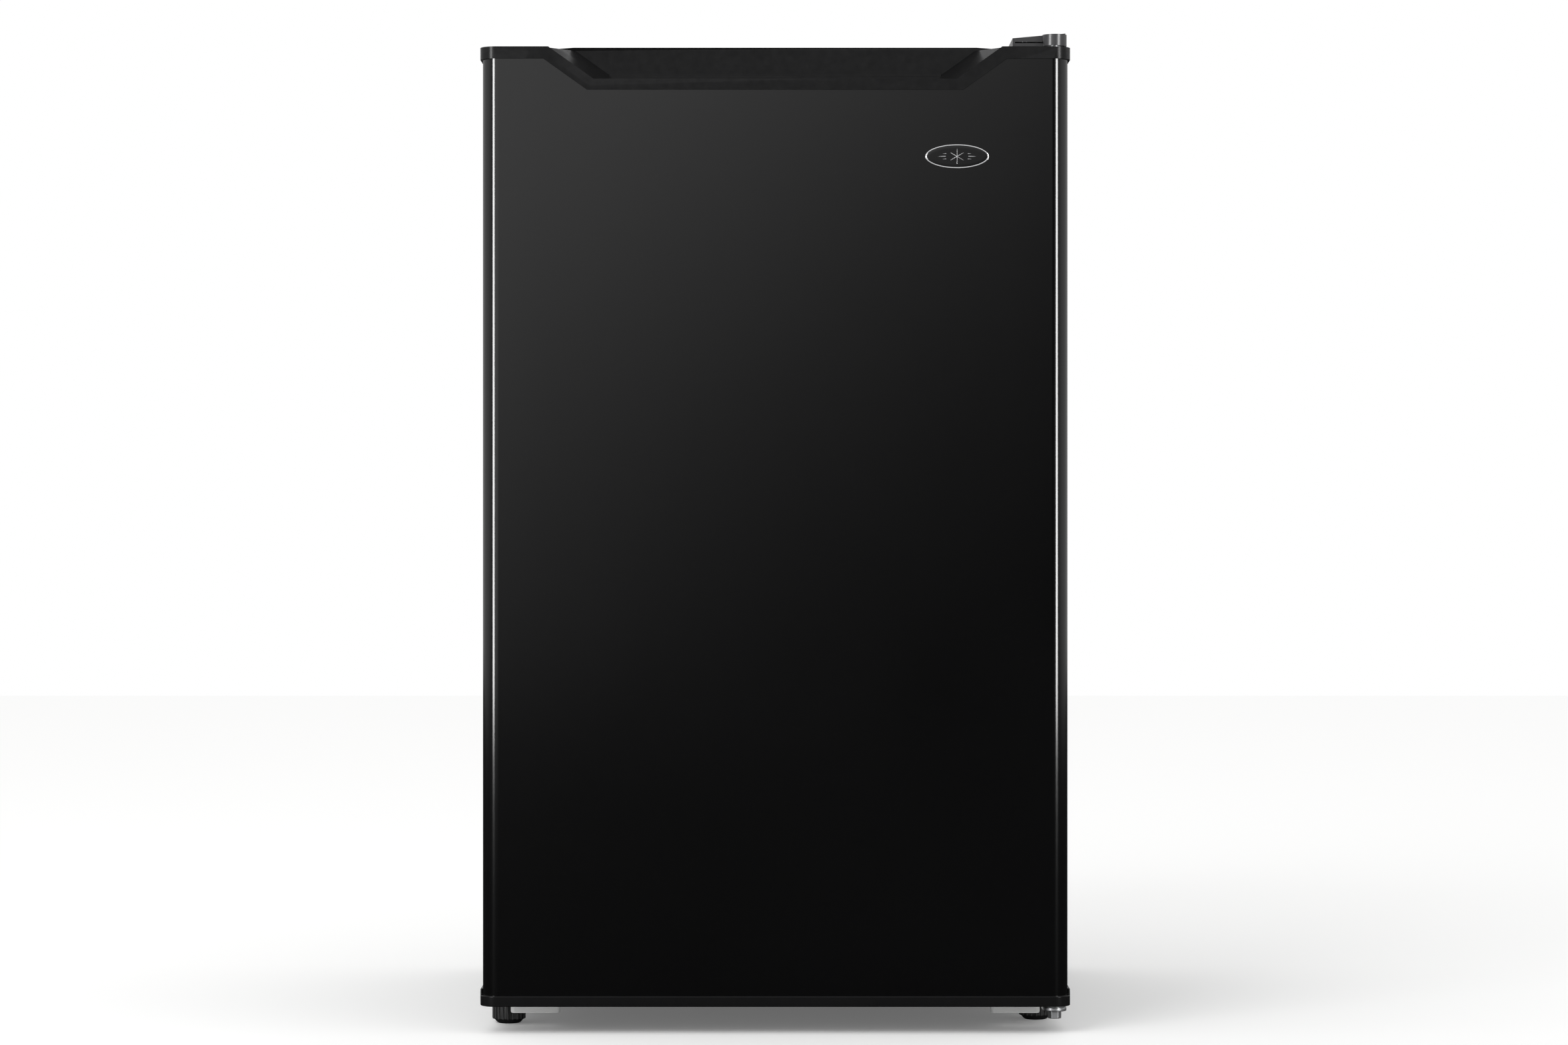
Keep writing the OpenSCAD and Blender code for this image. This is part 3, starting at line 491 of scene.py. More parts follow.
    def rings(self, steps: Iterable[tuple[float, float, Span]], closed: bool) -> "Shape":
        """Joins upright rectangles into a sheet that runs round the door.

        Args:
            steps: For each rectangle its half width, its plane on Y, and its lowest and highest edge.
            closed: True to join the last one to the first, False to fill the last one.

        Returns:
            This shape.
        """
        loops = []
        for half, y, (low, high) in steps:
            ring = self.corner((-half, y, low), (half, y, low), (half, y, high), (-half, y, high))
            loops.append([self.bm.edges.new(pair) for pair in zip(ring, ring[1:] + ring[:1])])
        for first, second in zip(loops, loops[1:] + (loops[:1] if closed else [])):
            bmesh.ops.bridge_loops(self.bm, edges=first + second)
        if not closed:
            bmesh.ops.contextual_create(self.bm, geom=loops[-1])
        return self

    def mirror(self) -> "Shape":
        """Adds the same shape on the other side of the middle plane."""
        bmesh.ops.mirror(self.bm, geom=self.bm.verts[:] + self.bm.edges[:] + self.bm.faces[:], axis="X",
                         merge_dist=0.0)
        return self

    def mesh(self, name: str, outward_from: Point | None = None) -> bpy.types.Mesh:
        """Closes the work and returns the mesh in metres.

        Args:
            name: Name of the mesh.
            outward_from: For an open sheet, a point that its outer side looks away from.

        Returns:
            The finished mesh.
        """
        bm = self.bm
        bmesh.ops.remove_doubles(bm, verts=bm.verts[:], dist=0.002)
        bmesh.ops.recalc_face_normals(bm, faces=bm.faces[:])
        if outward_from is not None:
            centre = Vector(outward_from)
            lean = sum((f.calc_center_median() - centre).dot(f.normal) * f.calc_area() for f in bm.faces)
            if lean < 0:
                bmesh.ops.reverse_faces(bm, faces=bm.faces[:])
        bmesh.ops.scale(bm, vec=(MM, MM, MM), verts=bm.verts[:])
        made = bpy.data.meshes.new(name)
        bm.to_mesh(made)
        bm.free()
        return made


def rounded_line(points: Sequence[Point], bend: float, steps: int = 7) -> list[Vector]:
    """Rounds the corners of a line.

    Args:
        points: The line's corners.
        bend: Radius of a square corner.
        steps: Points along each rounded corner.

    Returns:
        The points of the rounded line.
    """
    corners = [Vector(p) for p in points]
    line = [corners[0]]
    for before, here, after in zip(corners, corners[1:], corners[2:]):
        back, on = before - here, after - here
        cut_in = min(bend, back.length / 2)
        cut_out = min(bend, on.length / 2)
        start = here + back.normalized() * cut_in
        end = here + on.normalized() * cut_out
        for i in range(steps + 1):
            t = i / steps
            line.append(start * (1 - t) ** 2 + here * 2 * t * (1 - t) + end * t ** 2)
    line.append(corners[-1])
    return line


def tube_mesh(name: str, points: Sequence[Point], radius: float, bend: float,
              ring: int = 3) -> bpy.types.Mesh:
    """Makes a bent tube with closed ends.

    Args:
        name: Name of the mesh.
        points: Corners of its centre line, in millimetres.
        radius: Outer radius.
        bend: Radius of its bends.
        ring: Smoothness of its section.

    Returns:
        The mesh in metres.
    """
    curve = bpy.data.curves.new(name, "CURVE")
    curve.dimensions = "3D"
    curve.bevel_depth = radius * MM
    curve.bevel_resolution = ring
    curve.use_fill_caps = True
    line = rounded_line(points, bend)
    spline = curve.splines.new("POLY")
    spline.points.add(len(line) - 1)
    for point, place in zip(spline.points, line):
        point.co = (*(place * MM), 1)
    holder = bpy.data.objects.new(name, curve)
    made = bpy.data.meshes.new_from_object(holder)
    bpy.data.objects.remove(holder)
    made.name = name
    return made


@dataclass(frozen=True)
class Trim:
    """How a node's own shape is refined: finish, edge radius, weld distance and a change to its vertices."""

    node: str
    finish: Finish
    radius: float = 0.4
    segments: int = 2
    weld: float = 0.004
    adjust: Callable[[bmesh.types.BMVert], None] | None = None


class Workshop:
    """Turns meshes into finished pieces that ride on the frame's bodies."""

    def __init__(self) -> None:
        """Makes the shared surface effects."""
        self.effects = SurfaceEffects()
        self.made = 0

    def place(self, name: str, mesh: bpy.types.Mesh, finish: Finish, body: str,
              nodes: Sequence[str] = (), wall: float = 0.0, smooth: float = 38.0) -> bpy.types.Object:
        """Makes a piece of a mesh.

        Args:
            name: The piece's name.
            mesh: Its mesh, in metres.
            finish: Its material.
            body: The body that it rides on.
            nodes: The nodes that it stands for.
            wall: Wall thickness, for a sheet, inwards from its faces.
            smooth: Largest angle that is shaded smoothly, in degrees.

        Returns:
            The piece.
        """
        piece = bpy.data.objects.new(name, mesh)
        bpy.context.scene.collection.objects.link(piece)
        mesh.materials.clear()
        mesh.materials.append(finish.material(self.effects))
        mesh.polygons.foreach_set("use_smooth", [True] * len(mesh.polygons))
        mesh.set_sharp_from_angle(angle=math.radians(smooth))
        if wall:
            solid = piece.modifiers.new("wall", "SOLIDIFY")
            solid.thickness = wall * MM
            solid.offset = -1.0
            solid.use_even_offset = True
        weigh = piece.modifiers.new("flat_faces", "WEIGHTED_NORMAL")
        weigh.keep_sharp = True
        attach(piece, body)
        if nodes:
            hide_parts(*nodes)
        self.made += 1
        LOG.info("%s on %s: %d faces", name, body, len(mesh.polygons))
        return piece

    def refine(self, trim: Trim) -> bpy.types.Object:
        """Makes a piece of a merged copy of a node's mesh, with its edges rounded.

        Args:
            trim: The node, its finish and its edge radius.

        Returns:
            The piece.
        """
        source = frame["nodes"][trim.node]
        shape = Shape()
        bm = shape.bm
        bm.from_mesh(source.data)
        bmesh.ops.scale(bm, vec=(1 / MM,) * 3, verts=bm.verts[:])
        bmesh.ops.remove_doubles(bm, verts=bm.verts[:], dist=trim.weld)
        bmesh.ops.dissolve_limit(bm, angle_limit=math.radians(0.4), verts=bm.verts[:], edges=bm.edges[:])
        for vert in bm.verts if trim.adjust else ():
            trim.adjust(vert)
        if trim.radius:
            shape.bevel(shape.sharp(), trim.radius, trim.segments)
        bmesh.ops.scale(bm, vec=(MM, MM, MM), verts=bm.verts[:])
        mesh = bpy.data.meshes.new(trim.node + "_fine")
        bm.to_mesh(mesh)
        bm.free()
        return self.place(trim.node + "_fine", mesh, trim.finish, source["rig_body"], [trim.node])

    def refine_all(self, trims: Iterable[Trim]) -> None:
        """Refines several nodes."""
        for trim in trims:
            self.refine(trim)


# ---- Studio ----


@dataclass(frozen=True)
class Studio:
    """Camera, floor, world and lights, in metres."""

    distance: float = 3.46
    eye_height: float = 0.428
    lens: float = 87.9
    shift: float = 0.0056
    floor_half: float = 6.0
    ambient: float = 0.84
    strip_angle: float = 38.0
    strip_distance: float = 2.0
    strip_size: tuple[float, float] = (0.42, 1.7)
    strip_foot: float = 0.16
    strip_power: float = 55.0
    key_power: float = 28.0

    def build(self) -> None:
        """Sets everything up."""
        self.camera()
        self.floor()
        self.world()
        self.lights()
        bpy.context.scene.view_settings.view_transform = "Standard"

    def camera(self) -> None:
        """Puts the camera level in front of the door."""
        data = bpy.data.cameras.new("camera")
        data.lens = self.lens
        data.sensor_width = 36.0
        data.shift_x = self.shift
        view = bpy.data.objects.new("camera", data)
        view.location = (0.0, -self.distance, self.eye_height)
        view.rotation_euler = (math.pi / 2, 0.0, 0.0)
        bpy.context.scene.collection.objects.link(view)
        bpy.context.scene.camera = view

    def floor(self) -> None:
        """Lays a plain pale floor that reflections see as a dark one."""
        bm = bmesh.new()
        bmesh.ops.create_grid(bm, x_segments=1, y_segments=1, size=self.floor_half)
        mesh = bpy.data.meshes.new("floor")
        bm.to_mesh(mesh)
        bm.free()
        floor = bpy.data.objects.new("floor", mesh)
        bpy.context.scene.collection.objects.link(floor)
        paper = bpy.data.materials.new("pale_floor")
        paper.use_nodes = True
        graph = Graph(paper.node_tree)
        shader = paper.node_tree.nodes["Principled BSDF"]
        shader.inputs["Roughness"].default_value = 0.9
        shader.inputs["Specular IOR Level"].default_value = 0.0
        glossy = graph.add("LightPath").outputs["Is Glossy Ray"]
        graph.feed(shader, "Base Color", graph.blend(glossy, (0.98, 0.98, 0.975, 1), (0.03, 0.03, 0.03, 1)))
        graph.feed(shader, "Emission Color", graph.blend(glossy, (1, 1, 1, 1), (0, 0, 0, 1)))
        shader.inputs["Emission Strength"].default_value = 0.13
        mesh.materials.append(paper)

    def world(self) -> None:
        """White behind the fridge, even light on it, and a graded room for reflections."""
        world = bpy.data.worlds.new("studio")
        bpy.context.scene.world = world
        world.use_nodes = True
        graph = Graph(world.node_tree)
        background = world.node_tree.nodes["Background"]
        rays = graph.add("LightPath")
        way = graph.add("SeparateXYZ", None, Vector=graph.add("TexCoord").outputs["Generated"])
        x, y, z = way.outputs
        ahead = graph.math("MAXIMUM", graph.math("MULTIPLY", y, -1.0), 0.25)
        across = graph.math("DIVIDE", x, ahead)
        up = graph.math("DIVIDE", z, ahead)
        slant = graph.math("SUBTRACT", up, graph.math("MULTIPLY", across, 0.82))
        graded = graph.ramp(graph.math("DIVIDE", graph.math("ADD", slant, 0.11), 0.29, True), (
            (0.0, 0.010), (0.13, 0.018), (0.22, 0.048), (0.31, 0.088), (0.40, 0.15), (0.49, 0.235),
            (0.58, 0.36), (0.67, 0.51), (0.76, 0.69), (0.85, 0.93), (1.0, 1.15)))
        wide = graph.math("ABSOLUTE", across)
        aside = graph.ramp(graph.math("DIVIDE", wide, 4.0, True), (
            (0.0, 0.0), (0.09, 0.0), (0.33, 0.0), (0.40, 0.55), (1.0, 0.8)))
        beside = graph.ramp(graph.math("DIVIDE", wide, 4.0, True), (
            (0.0, 0.0), (0.10, 0.0), (0.17, 0.75), (0.22, 1.0), (1.0, 1.0)))
        above = graph.ramp(graph.math("MULTIPLY", z, 1.0, True), ((0.25, 0.0), (0.75, 0.9)))
        room = graph.blend(beside, graded, aside)
        room = graph.blend(above, room, (0.85, 0.85, 0.86, 1))
        even = (self.ambient, self.ambient, self.ambient, 1)
        colour = graph.blend(rays.outputs["Is Glossy Ray"], even, room)
        colour = graph.blend(rays.outputs["Is Camera Ray"], colour, (1, 1, 1, 1))
        graph.feed(background, "Color", colour)

    def lamp(self, name: str, place: Point, target: Point, size: tuple[float, float], power: float,
             soft: bool) -> None:
        """Adds a rectangular lamp.

        Args:
            name: Its name.
            place: Where it stands.
            target: What it points at.
            size: Width and height.
            power: Power in watts.
            soft: True if it lights surfaces, False if only reflections show it.
        """
        data = bpy.data.lights.new(name, "AREA")
        data.shape = "RECTANGLE"
        data.size, data.size_y = size
        data.energy = power
        lamp = bpy.data.objects.new(name, data)
        way = Vector(target) - Vector(place)
        turn = way.to_track_quat("-Z", "Y")
        lamp.matrix_world = Matrix.Translation(place) @ turn.to_matrix().to_4x4()
        lamp.visible_diffuse = soft
        lamp.visible_camera = False
        lamp.visible_glossy = not soft
        bpy.context.scene.collection.objects.link(lamp)

    def lights(self) -> None:
        """Two tall strips that edge the door with light, and one soft key."""
        turn = math.radians(self.strip_angle)
        middle = self.strip_foot + self.strip_size[1] / 2
        for side in (-1, 1):
            place = (side * (0.236 + self.strip_distance * math.sin(turn)),
                     -0.25 - self.strip_distance * math.cos(turn), middle)
            self.lamp(f"edge_strip_{'left' if side < 0 else 'right'}", place, (side * 0.236, -0.25, middle),
                      self.strip_size, self.strip_power, False)
        self.lamp("key", (-1.4, -2.2, 2.3), (0.0, 0.0, 0.4), (1.6, 1.6), self.key_power, True)


# ---- Door ----


@dataclass(frozen=True)
class Door:
    """The door: painted sheet, end caps with the pull, liner, gasket, bins and badge."""

    body: str = "door"
    front: float = -259.0
    back: float = -214.0
    half: float = 245.4
    bottom: float = 32.0
    top: float = 816.0
    edge_radius: float = 14.0
    sheet: float = 0.8
    pull_half: float = 157.5
    pull_drop: float = 26.0
    pull_slope: float = 1.404
    return_lip: float = 11.0
    cap_top: float = 826.0
    bead_half: float = 140.0
    bead_section: tuple[Span, ...] = ((-227.9, 800.5), (-231.6, 800.5), (-228.4, 807.2), (-227.9, 807.2))
    crown_rise: float = 2.8
    crown_half: float = 170.0
    crown_foot: float = 206.0
    crown_front: float = -229.0
    dike_half: float = 192.0
    dike_width: float = 14.0
    dike_z: Span = (78.0, 776.0)
    dike_back: float = -160.0
    dike_draft: float = 2.0
    gasket_half: float = 238.5
    gasket_z: Span = (30.0, 818.0)
    gasket_face: float = -202.3
    gasket_profile: tuple[Span, ...] = (
        (0.6, 0.0), (2.8, 0.18), (0.6, 0.34), (2.8, 0.5), (0.0, 0.66), (0.0, 0.95), (1.0, 1.0),
        (12.6, 1.0), (13.6, 0.92), (13.6, 0.6), (16.0, 0.3), (16.0, 0.0))
    badge_centre: tuple[float, float] = (152.0, 734.0)
    badge_size: tuple[float, float] = (53.0, 20.0)
    bin_levels: tuple[float, ...] = (100.0, 320.0, 545.0)

    def build(self, shop: Workshop) -> None:
        """Builds every piece of the door.

        Args:
            shop: Where pieces are finished.
        """
        self.skin(shop)
        self.liner(shop)
        self.gasket(shop)
        self.badge(shop)
        self.pull_step(shop)
        shop.refine_all((
            Trim("door_top_cap", GLOSS_BLACK, 0.9, 3, 0.15, self.ease_crown),
            Trim("door_bottom_cap", GLOSS_BLACK, 1.1, 3),
            Trim("door_foam", FOAM, 3.2, 2),
            Trim("door_bin_upper", CLEAR, 0.9, 3),
            Trim("door_bin_middle", CLEAR, 0.9, 3),
            Trim("door_bin_lower", CLEAR, 0.9, 3),
            Trim("door_bushes", WHITE_PLASTIC, 0.3),
        ))

    def skin(self, shop: Workshop) -> None:
        """Folds the painted sheet round the door, cut down where the pull is."""
        shape = Shape()
        run = self.pull_half + self.pull_slope * self.pull_drop
        stops = (-self.half, -run, -self.pull_half, self.pull_half, run, self.half)
        lip = self.half - self.return_lip
        z = self.bottom
        outline = [(-lip, self.back, z), (-self.half, self.back, z)]
        outline += [(x, self.front, z) for x in stops]
        outline += [(self.half, self.back, z), (lip, self.back, z)]
        upper = shape.sweep(shape.path(outline), (0, 0, self.top - self.bottom))
        for vert in upper:
            if abs(abs(vert.co.x) - self.pull_half) < 0.1:
                vert.co.z -= self.pull_drop
        corners = [e for e in shape.bm.edges
                   if len(e.link_faces) == 2 and abs(abs(e.verts[0].co.x) - self.half) < 0.1]
        front = [e for e in corners if e.verts[0].co.y < self.back - 1]
        shape.bevel(front, self.edge_radius, 14)
        rear = [e for e in shape.sharp(60) if e.verts[0].co.y > self.back - 1]
        shape.bevel(rear, 1.6, 4)
        mesh = shape.mesh("door_skin_sheet", (0, -236, 424))
        shop.place("door_skin_sheet", mesh, DOOR_PAINT, self.body, ["door_skin"], wall=self.sheet)

    def liner(self, shop: Workshop) -> None:
        """Forms the inner door: a flat border, a raised ring and ledges for the bins."""
        border, inner = self.half - self.return_lip, self.dike_half - self.dike_width
        low, high = self.dike_z
        floor, roof = low + self.dike_width, high - self.dike_width
        draft = self.dike_draft
        shape = Shape().rings((
            (border, self.back, (self.bottom + 1, self.top - 1)),
            (self.dike_half, self.back, (low, high)),
            (self.dike_half - draft, self.dike_back, (low + draft, high - draft)),
            (inner + draft, self.dike_back, (floor - draft, roof + draft)),
            (inner, self.back, (floor, roof))), False)
        shape.bevel(shape.sharp(), 5.0, 4)
        mesh = shape.mesh("door_liner_formed", None)
        if sum(p.normal.y * p.area for p in mesh.polygons) < 0:
            mesh.flip_normals()
        shop.place("door_liner_formed", mesh, WHITE_LINER, self.body, ["door_liner"], wall=1.8)
        ledges = Shape()
        for level in self.bin_levels:
            ledges.box((inner - 12, inner + 1), (self.back - 0.5, self.dike_back - 6), (level - 5, level),
                       1.4)
        shop.place("door_bin_ledges", ledges.mirror().mesh("door_bin_ledges"), WHITE_LINER, self.body)

    def gasket(self, shop: Workshop) -> None:
        """Runs the magnetic seal round the door: a foot, a folded bellows and a flat face."""
        (low, high), start = self.gasket_z, self.back + 0.05
        depth = self.gasket_face - start
        shape = Shape().rings(((self.gasket_half - inset, start + depth * share, (low + inset, high - inset))
                               for inset, share in self.gasket_profile), True)
        shape.bevel(shape.sharp(25), 0.45, 2)
        mesh = shape.mesh("door_seal", None)
        shop.place("door_seal", mesh, VINYL, self.body, ["door_gasket"], smooth=50)

    def ease_crown(self, vert: bmesh.types.BMVert) -> None:
        """Lowers the crown behind the pull and leads its ends gently down to the cap."""
        side = abs(vert.co.x)
        if vert.co.z > self.cap_top + 1:
            vert.co.z, side = self.cap_top + self.crown_rise, self.crown_half
        elif vert.co.y > self.crown_front and vert.co.z > self.cap_top - 0.2 and abs(side - 185.0) < 2.5:
            side = self.crown_foot
        vert.co.x = math.copysign(side, vert.co.x)

    def pull_step(self, shop: Workshop) -> None:
        """Runs a sloped bead along the foot of the pull's back wall."""
        bead, left = Shape(), -self.bead_half
        outline = [(left, y, z) for y, z in self.bead_section]
        bead.prism(outline, (2 * self.bead_half, 0, 0), 0.3, 2)
        shop.place("pull_step", bead.mesh("pull_step"), GLOSS_BLACK, self.body)

    def badge(self, shop: Workshop) -> None:
        """Sets an oval badge with a bright rim and a snowflake."""
        x, z = self.badge_centre
        wide, tall = (s / 2 for s in self.badge_size)
        back = self.front + 0.05

        def oval(scale_x: float, scale_z: float) -> Matrix:
            """Turns a flat circle upright and stretches it."""
            return (Matrix.Translation((x, back, z)) @ Matrix.Rotation(math.pi / 2, 4, "X")
                    @ Matrix.Diagonal((scale_x, scale_z, 1, 1)))

        face = Shape()
        made = bmesh.ops.create_circle(face.bm, cap_ends=True, segments=72, radius=1.0,
                                       matrix=oval(wide - 0.5, tall - 0.5))["verts"]
        front = face.push([made[0].link_faces[0]], (0, -0.5, 0))
        bmesh.ops.inset_region(face.bm, faces=front, thickness=3.0, depth=0.12)
        shop.place("badge_face", face.mesh("badge_face"), BADGE_FACE, self.body, ["badge"])

        rim = Shape()
        made = bmesh.ops.create_circle(rim.bm, cap_ends=True, segments=72, radius=1.0,
                                       matrix=oval(wide, tall))["verts"]
        front = rim.push([made[0].link_faces[0]], (0, -0.8, 0))
        bmesh.ops.inset_region(rim.bm, faces=front, thickness=0.95, use_even_offset=True)
        rim.push(front, (0, 0.75, 0))
        rim.bevel(rim.sharp(60), 0.18, 2)
        self.snowflake(rim, x, z, back)
        shop.place("badge_rim", rim.mesh("badge_rim"), BADGE_METAL, self.body)

    @staticmethod
    def snowflake(shape: Shape, x: float, z: float, back: float) -> None:
        """Adds six barbed arms and two tapering bars.

        Args:
            shape: What the arms are added to.
            x, z: Centre of the snowflake.
            back: Plane that it stands on.
        """
        front = back - 0.75
        for k in range(6):
            turn = math.radians(60 * k + 30)
            way = Vector((math.cos(turn), 0, math.sin(turn)))
            side = Vector((-math.sin(turn), 0, math.cos(turn)))
            middle = Vector((x, (front + back) / 2, z))
            bars = [(Vector(), way * 6.2, 0.42)]
            bars += [(way * r, way * (r + 1.5) + side * s * 1.5, 0.3) for r in (2.4, 4.0) for s in (-1, 1)]
            for start, end, width in bars:
                shape.rod(middle + start, middle + end, width, width * 0.7, sides=6)
        for side in (-1, 1):
            shape.rod((x + side * 9.5, back - 0.35, z), (x + side * 20.5, back - 0.35, z), 0.5, 0.12, sides=8)
            for lift in (-2.2, 2.2):
                shape.rod((x + side * 9.0, back - 0.35, z + lift), (x + side * 16.5, back - 0.35, z + lift),
                          0.4, 0.1, sides=8)


# ---- Cabinet ----


@dataclass(frozen=True)
class Cabinet:
    """Outer shell, panels, foam and the formed inner liner."""

    body: str = "cabinet"
    half: float = 245.0
    bottom: float = 24.0
    top: float = 824.0
    front: float = -202.0
    back: float = 233.0
    corner: float = 8.0
    sheet: float = 0.8
    flange: float = 20.0
    inner_half: float = 207.0
    inner_z: Span = (70.0, 784.0)
    inner_back: float = 188.0
    hump: tuple[float, float] = (26.0, 228.0)
    liner_radius: float = 15.0
    ledge_levels: tuple[float, ...] = (415.0, 526.0, 304.0, 650.0)
    ledge_y: Span = (-84.0, 170.0)
    ledge_width: float = 10.0

    def build(self, shop: Workshop) -> None:
        """Builds the shell, the liner and the panels.

        Args:
            shop: Where pieces are finished.
        """
        self.shell(shop)
        self.liner(shop)
        self.back_details(shop)
        shop.refine_all((
            Trim("back_panel", CABINET_PAINT, 0.2),
            Trim("base_plate", ZINC, 0.2),
            Trim("compartment_panel", ZINC, 0.2),
            Trim("compressor_deck", ZINC, 0.3),
            Trim("cabinet_foam", FOAM, 0.0),
            Trim("hinge_hole_plugs", MATTE_BLACK, 0.5),
            Trim("base_corner_blocks", WHITE_PLASTIC, 1.2, 3),
        ))

    def shell(self, shop: Workshop) -> None:
        """Wraps the painted sheet over the sides and top, with a flange at the front."""
        shape = Shape()
        line = [(-self.half, self.front, self.bottom), (-self.half, self.front, self.top),
                (self.half, self.front, self.top), (self.half, self.front, self.bottom)]
        rim = shape.path(line)
        shape.sweep(rim, (0, self.back - self.front, 0))
        fronts = [e for e in shape.bm.edges if all(abs(v.co.y - self.front) < 0.1 for v in e.verts)]
        inner = shape.sweep(fronts, (0, 0, 0))
        for vert in inner:
            vert.co.x = math.copysign(self.half - self.flange, vert.co.x)
            if vert.co.z > self.top - 1:
                vert.co.z = self.top - self.flange
        long = [e for e in shape.bm.edges if len(e.link_faces) == 2
                and all(v.co.z > self.top - self.flange - 1 for v in e.verts)
                and all(abs(v.co.x) > self.half - self.flange - 1 for v in e.verts)
                and abs(e.verts[0].co.x - e.verts[1].co.x) < self.flange + 1]
        shape.bevel(long, self.corner, 8)
        outer = [e for e in shape.sharp(60) if all(abs(v.co.y - self.front) < 0.1 for v in e.verts)]
        shape.bevel(outer, 1.3, 3)
        mesh = shape.mesh("cabinet_shell_sheet", (0, 15, 400))
        shop.place("cabinet_shell_sheet", mesh, CABINET_PAINT, self.body, ["cabinet_shell"], wall=self.sheet)

    def liner(self, shop: Workshop) -> None:
        """Forms the white inner box, stepped over the compressor's room, with ledges and a drain."""
        shape = Shape()
        low, high = self.inner_z
        step_y, step_z = self.hump
        side = [(self.front, low), (step_y, low), (step_y, step_z), (self.inner_back, step_z),
                (self.inner_back, high), (self.front, high)]
        face = shape.bm.faces.new(shape.corner(*[(-self.inner_half, y, z) for y, z in side]))
        made = bmesh.ops.extrude_face_region(shape.bm, geom=[face])["geom"]
        bmesh.ops.translate(shape.bm, verts=[g for g in made if isinstance(g, bmesh.types.BMVert)],
                            vec=(2 * self.inner_half, 0, 0))
        mouth = [f for f in shape.bm.faces if all(abs(v.co.y - self.front) < 0.1 for v in f.verts)]
        bmesh.ops.delete(shape.bm, geom=mouth, context="FACES_ONLY")
        shape.bevel(shape.sharp(), self.liner_radius, 6)
        edges = [e for e in shape.bm.edges if e.is_boundary]
        border = shape.sweep(edges, (0, 0, 0))
        outer_half = self.half - self.flange + 0.5
        middle, tall = (low + high) / 2, (high - low) / 2
        outer_low, outer_high = self.bottom + self.flange, self.top - self.flange
        outer_middle, outer_span = (outer_low + outer_high) / 2, outer_high - outer_low
        for vert in border:
            vert.co.x *= outer_half / self.inner_half
            vert.co.z = outer_middle + (vert.co.z - middle) / tall * outer_span / 2
        turn = [e for e in shape.sharp(60) if all(abs(v.co.y - self.front) < 0.1 for v in e.verts)]
        shape.bevel(turn, 2.0, 3)
        mesh = shape.mesh("inner_liner_formed", (0, -20, 427))
        shop.place("inner_liner_formed", mesh, WHITE_LINER, self.body, ["cabinet_liner"], wall=-1.6)
        ledges = Shape()
        for level in self.ledge_levels:
            ledges.box((self.inner_half - self.ledge_width, self.inner_half + 1), self.ledge_y,
                       (level - 6, level), 1.8)
        shop.place("liner_ledges", ledges.mirror().mesh("liner_ledges"), WHITE_LINER, self.body)
        drain = Shape()
        drain.prism([(-22, self.inner_back - 3, step_z + 8), (22, self.inner_back - 3, step_z + 8),
                     (6, self.inner_back - 3, step_z + 0.5), (-6, self.inner_back - 3, step_z + 0.5)],
                    (0, 3.5, 0), 0.8)
        drain.rod((0, self.inner_back - 9, step_z - 1), (0, self.inner_back - 9, step_z + 1.2), 6.0, 5.2,
                  rounding=0.4)
        shop.place("drain_funnel", drain.mesh("drain_funnel"), WHITE_PLASTIC, self.body)

    def back_details(self, shop: Workshop) -> None:
        """Adds the panel screws and the plugs over the foam filling holes."""
        screws = Shape()
        for x in (-236, 236):
            for z in (215, 410, 605, 790):
                pan_head(screws, (x, self.back, z), (0, 1, 0), 3.6)
        for x in (-150, 0, 150):
            pan_head(screws, (x, self.back, 806), (0, 1, 0), 3.6)
        shop.place("back_panel_screws", screws.mesh("back_panel_screws"), ZINC, self.body)
        plugs = Shape()
        for x, z in ((-100, 760), (100, 760)):
            plugs.rod((x, self.back - 0.5, z), (x, self.back + 2.2, z), 15, 13.5, sides=40, rounding=0.8)
        shop.place("foam_hole_plugs", plugs.mesh("foam_hole_plugs"), MATTE_BLACK, self.body)


def pan_head(shape: Shape, place: Point, way: Point, radius: float) -> None:
    """Adds a screw head with a cross recess.

    Args:
        shape: What it is added to.
        place: Centre of its seat.
        way: Direction that it stands out in.
        radius: Radius of the head.
    """
    out, base = Vector(way), Vector(place)
    shape.rod(base - out * 0.4, base + out * radius * 0.55, radius, radius * 0.8, sides=24,
              rounding=radius * 0.2)
    turn = out.to_track_quat("Z", "Y").to_matrix().to_4x4()
    for spin in (0.0, math.pi / 2):
        size = Matrix.Diagonal((radius * 1.15, radius * 0.24, radius * 0.12, 1))
        place_bar = Matrix.Translation(base + out * radius * 0.55)
        spun = turn @ Matrix.Rotation(spin, 4, "Z")
        bmesh.ops.create_cube(shape.bm, size=1.0, matrix=place_bar @ spun @ size)


# ---- Cold compartment ----


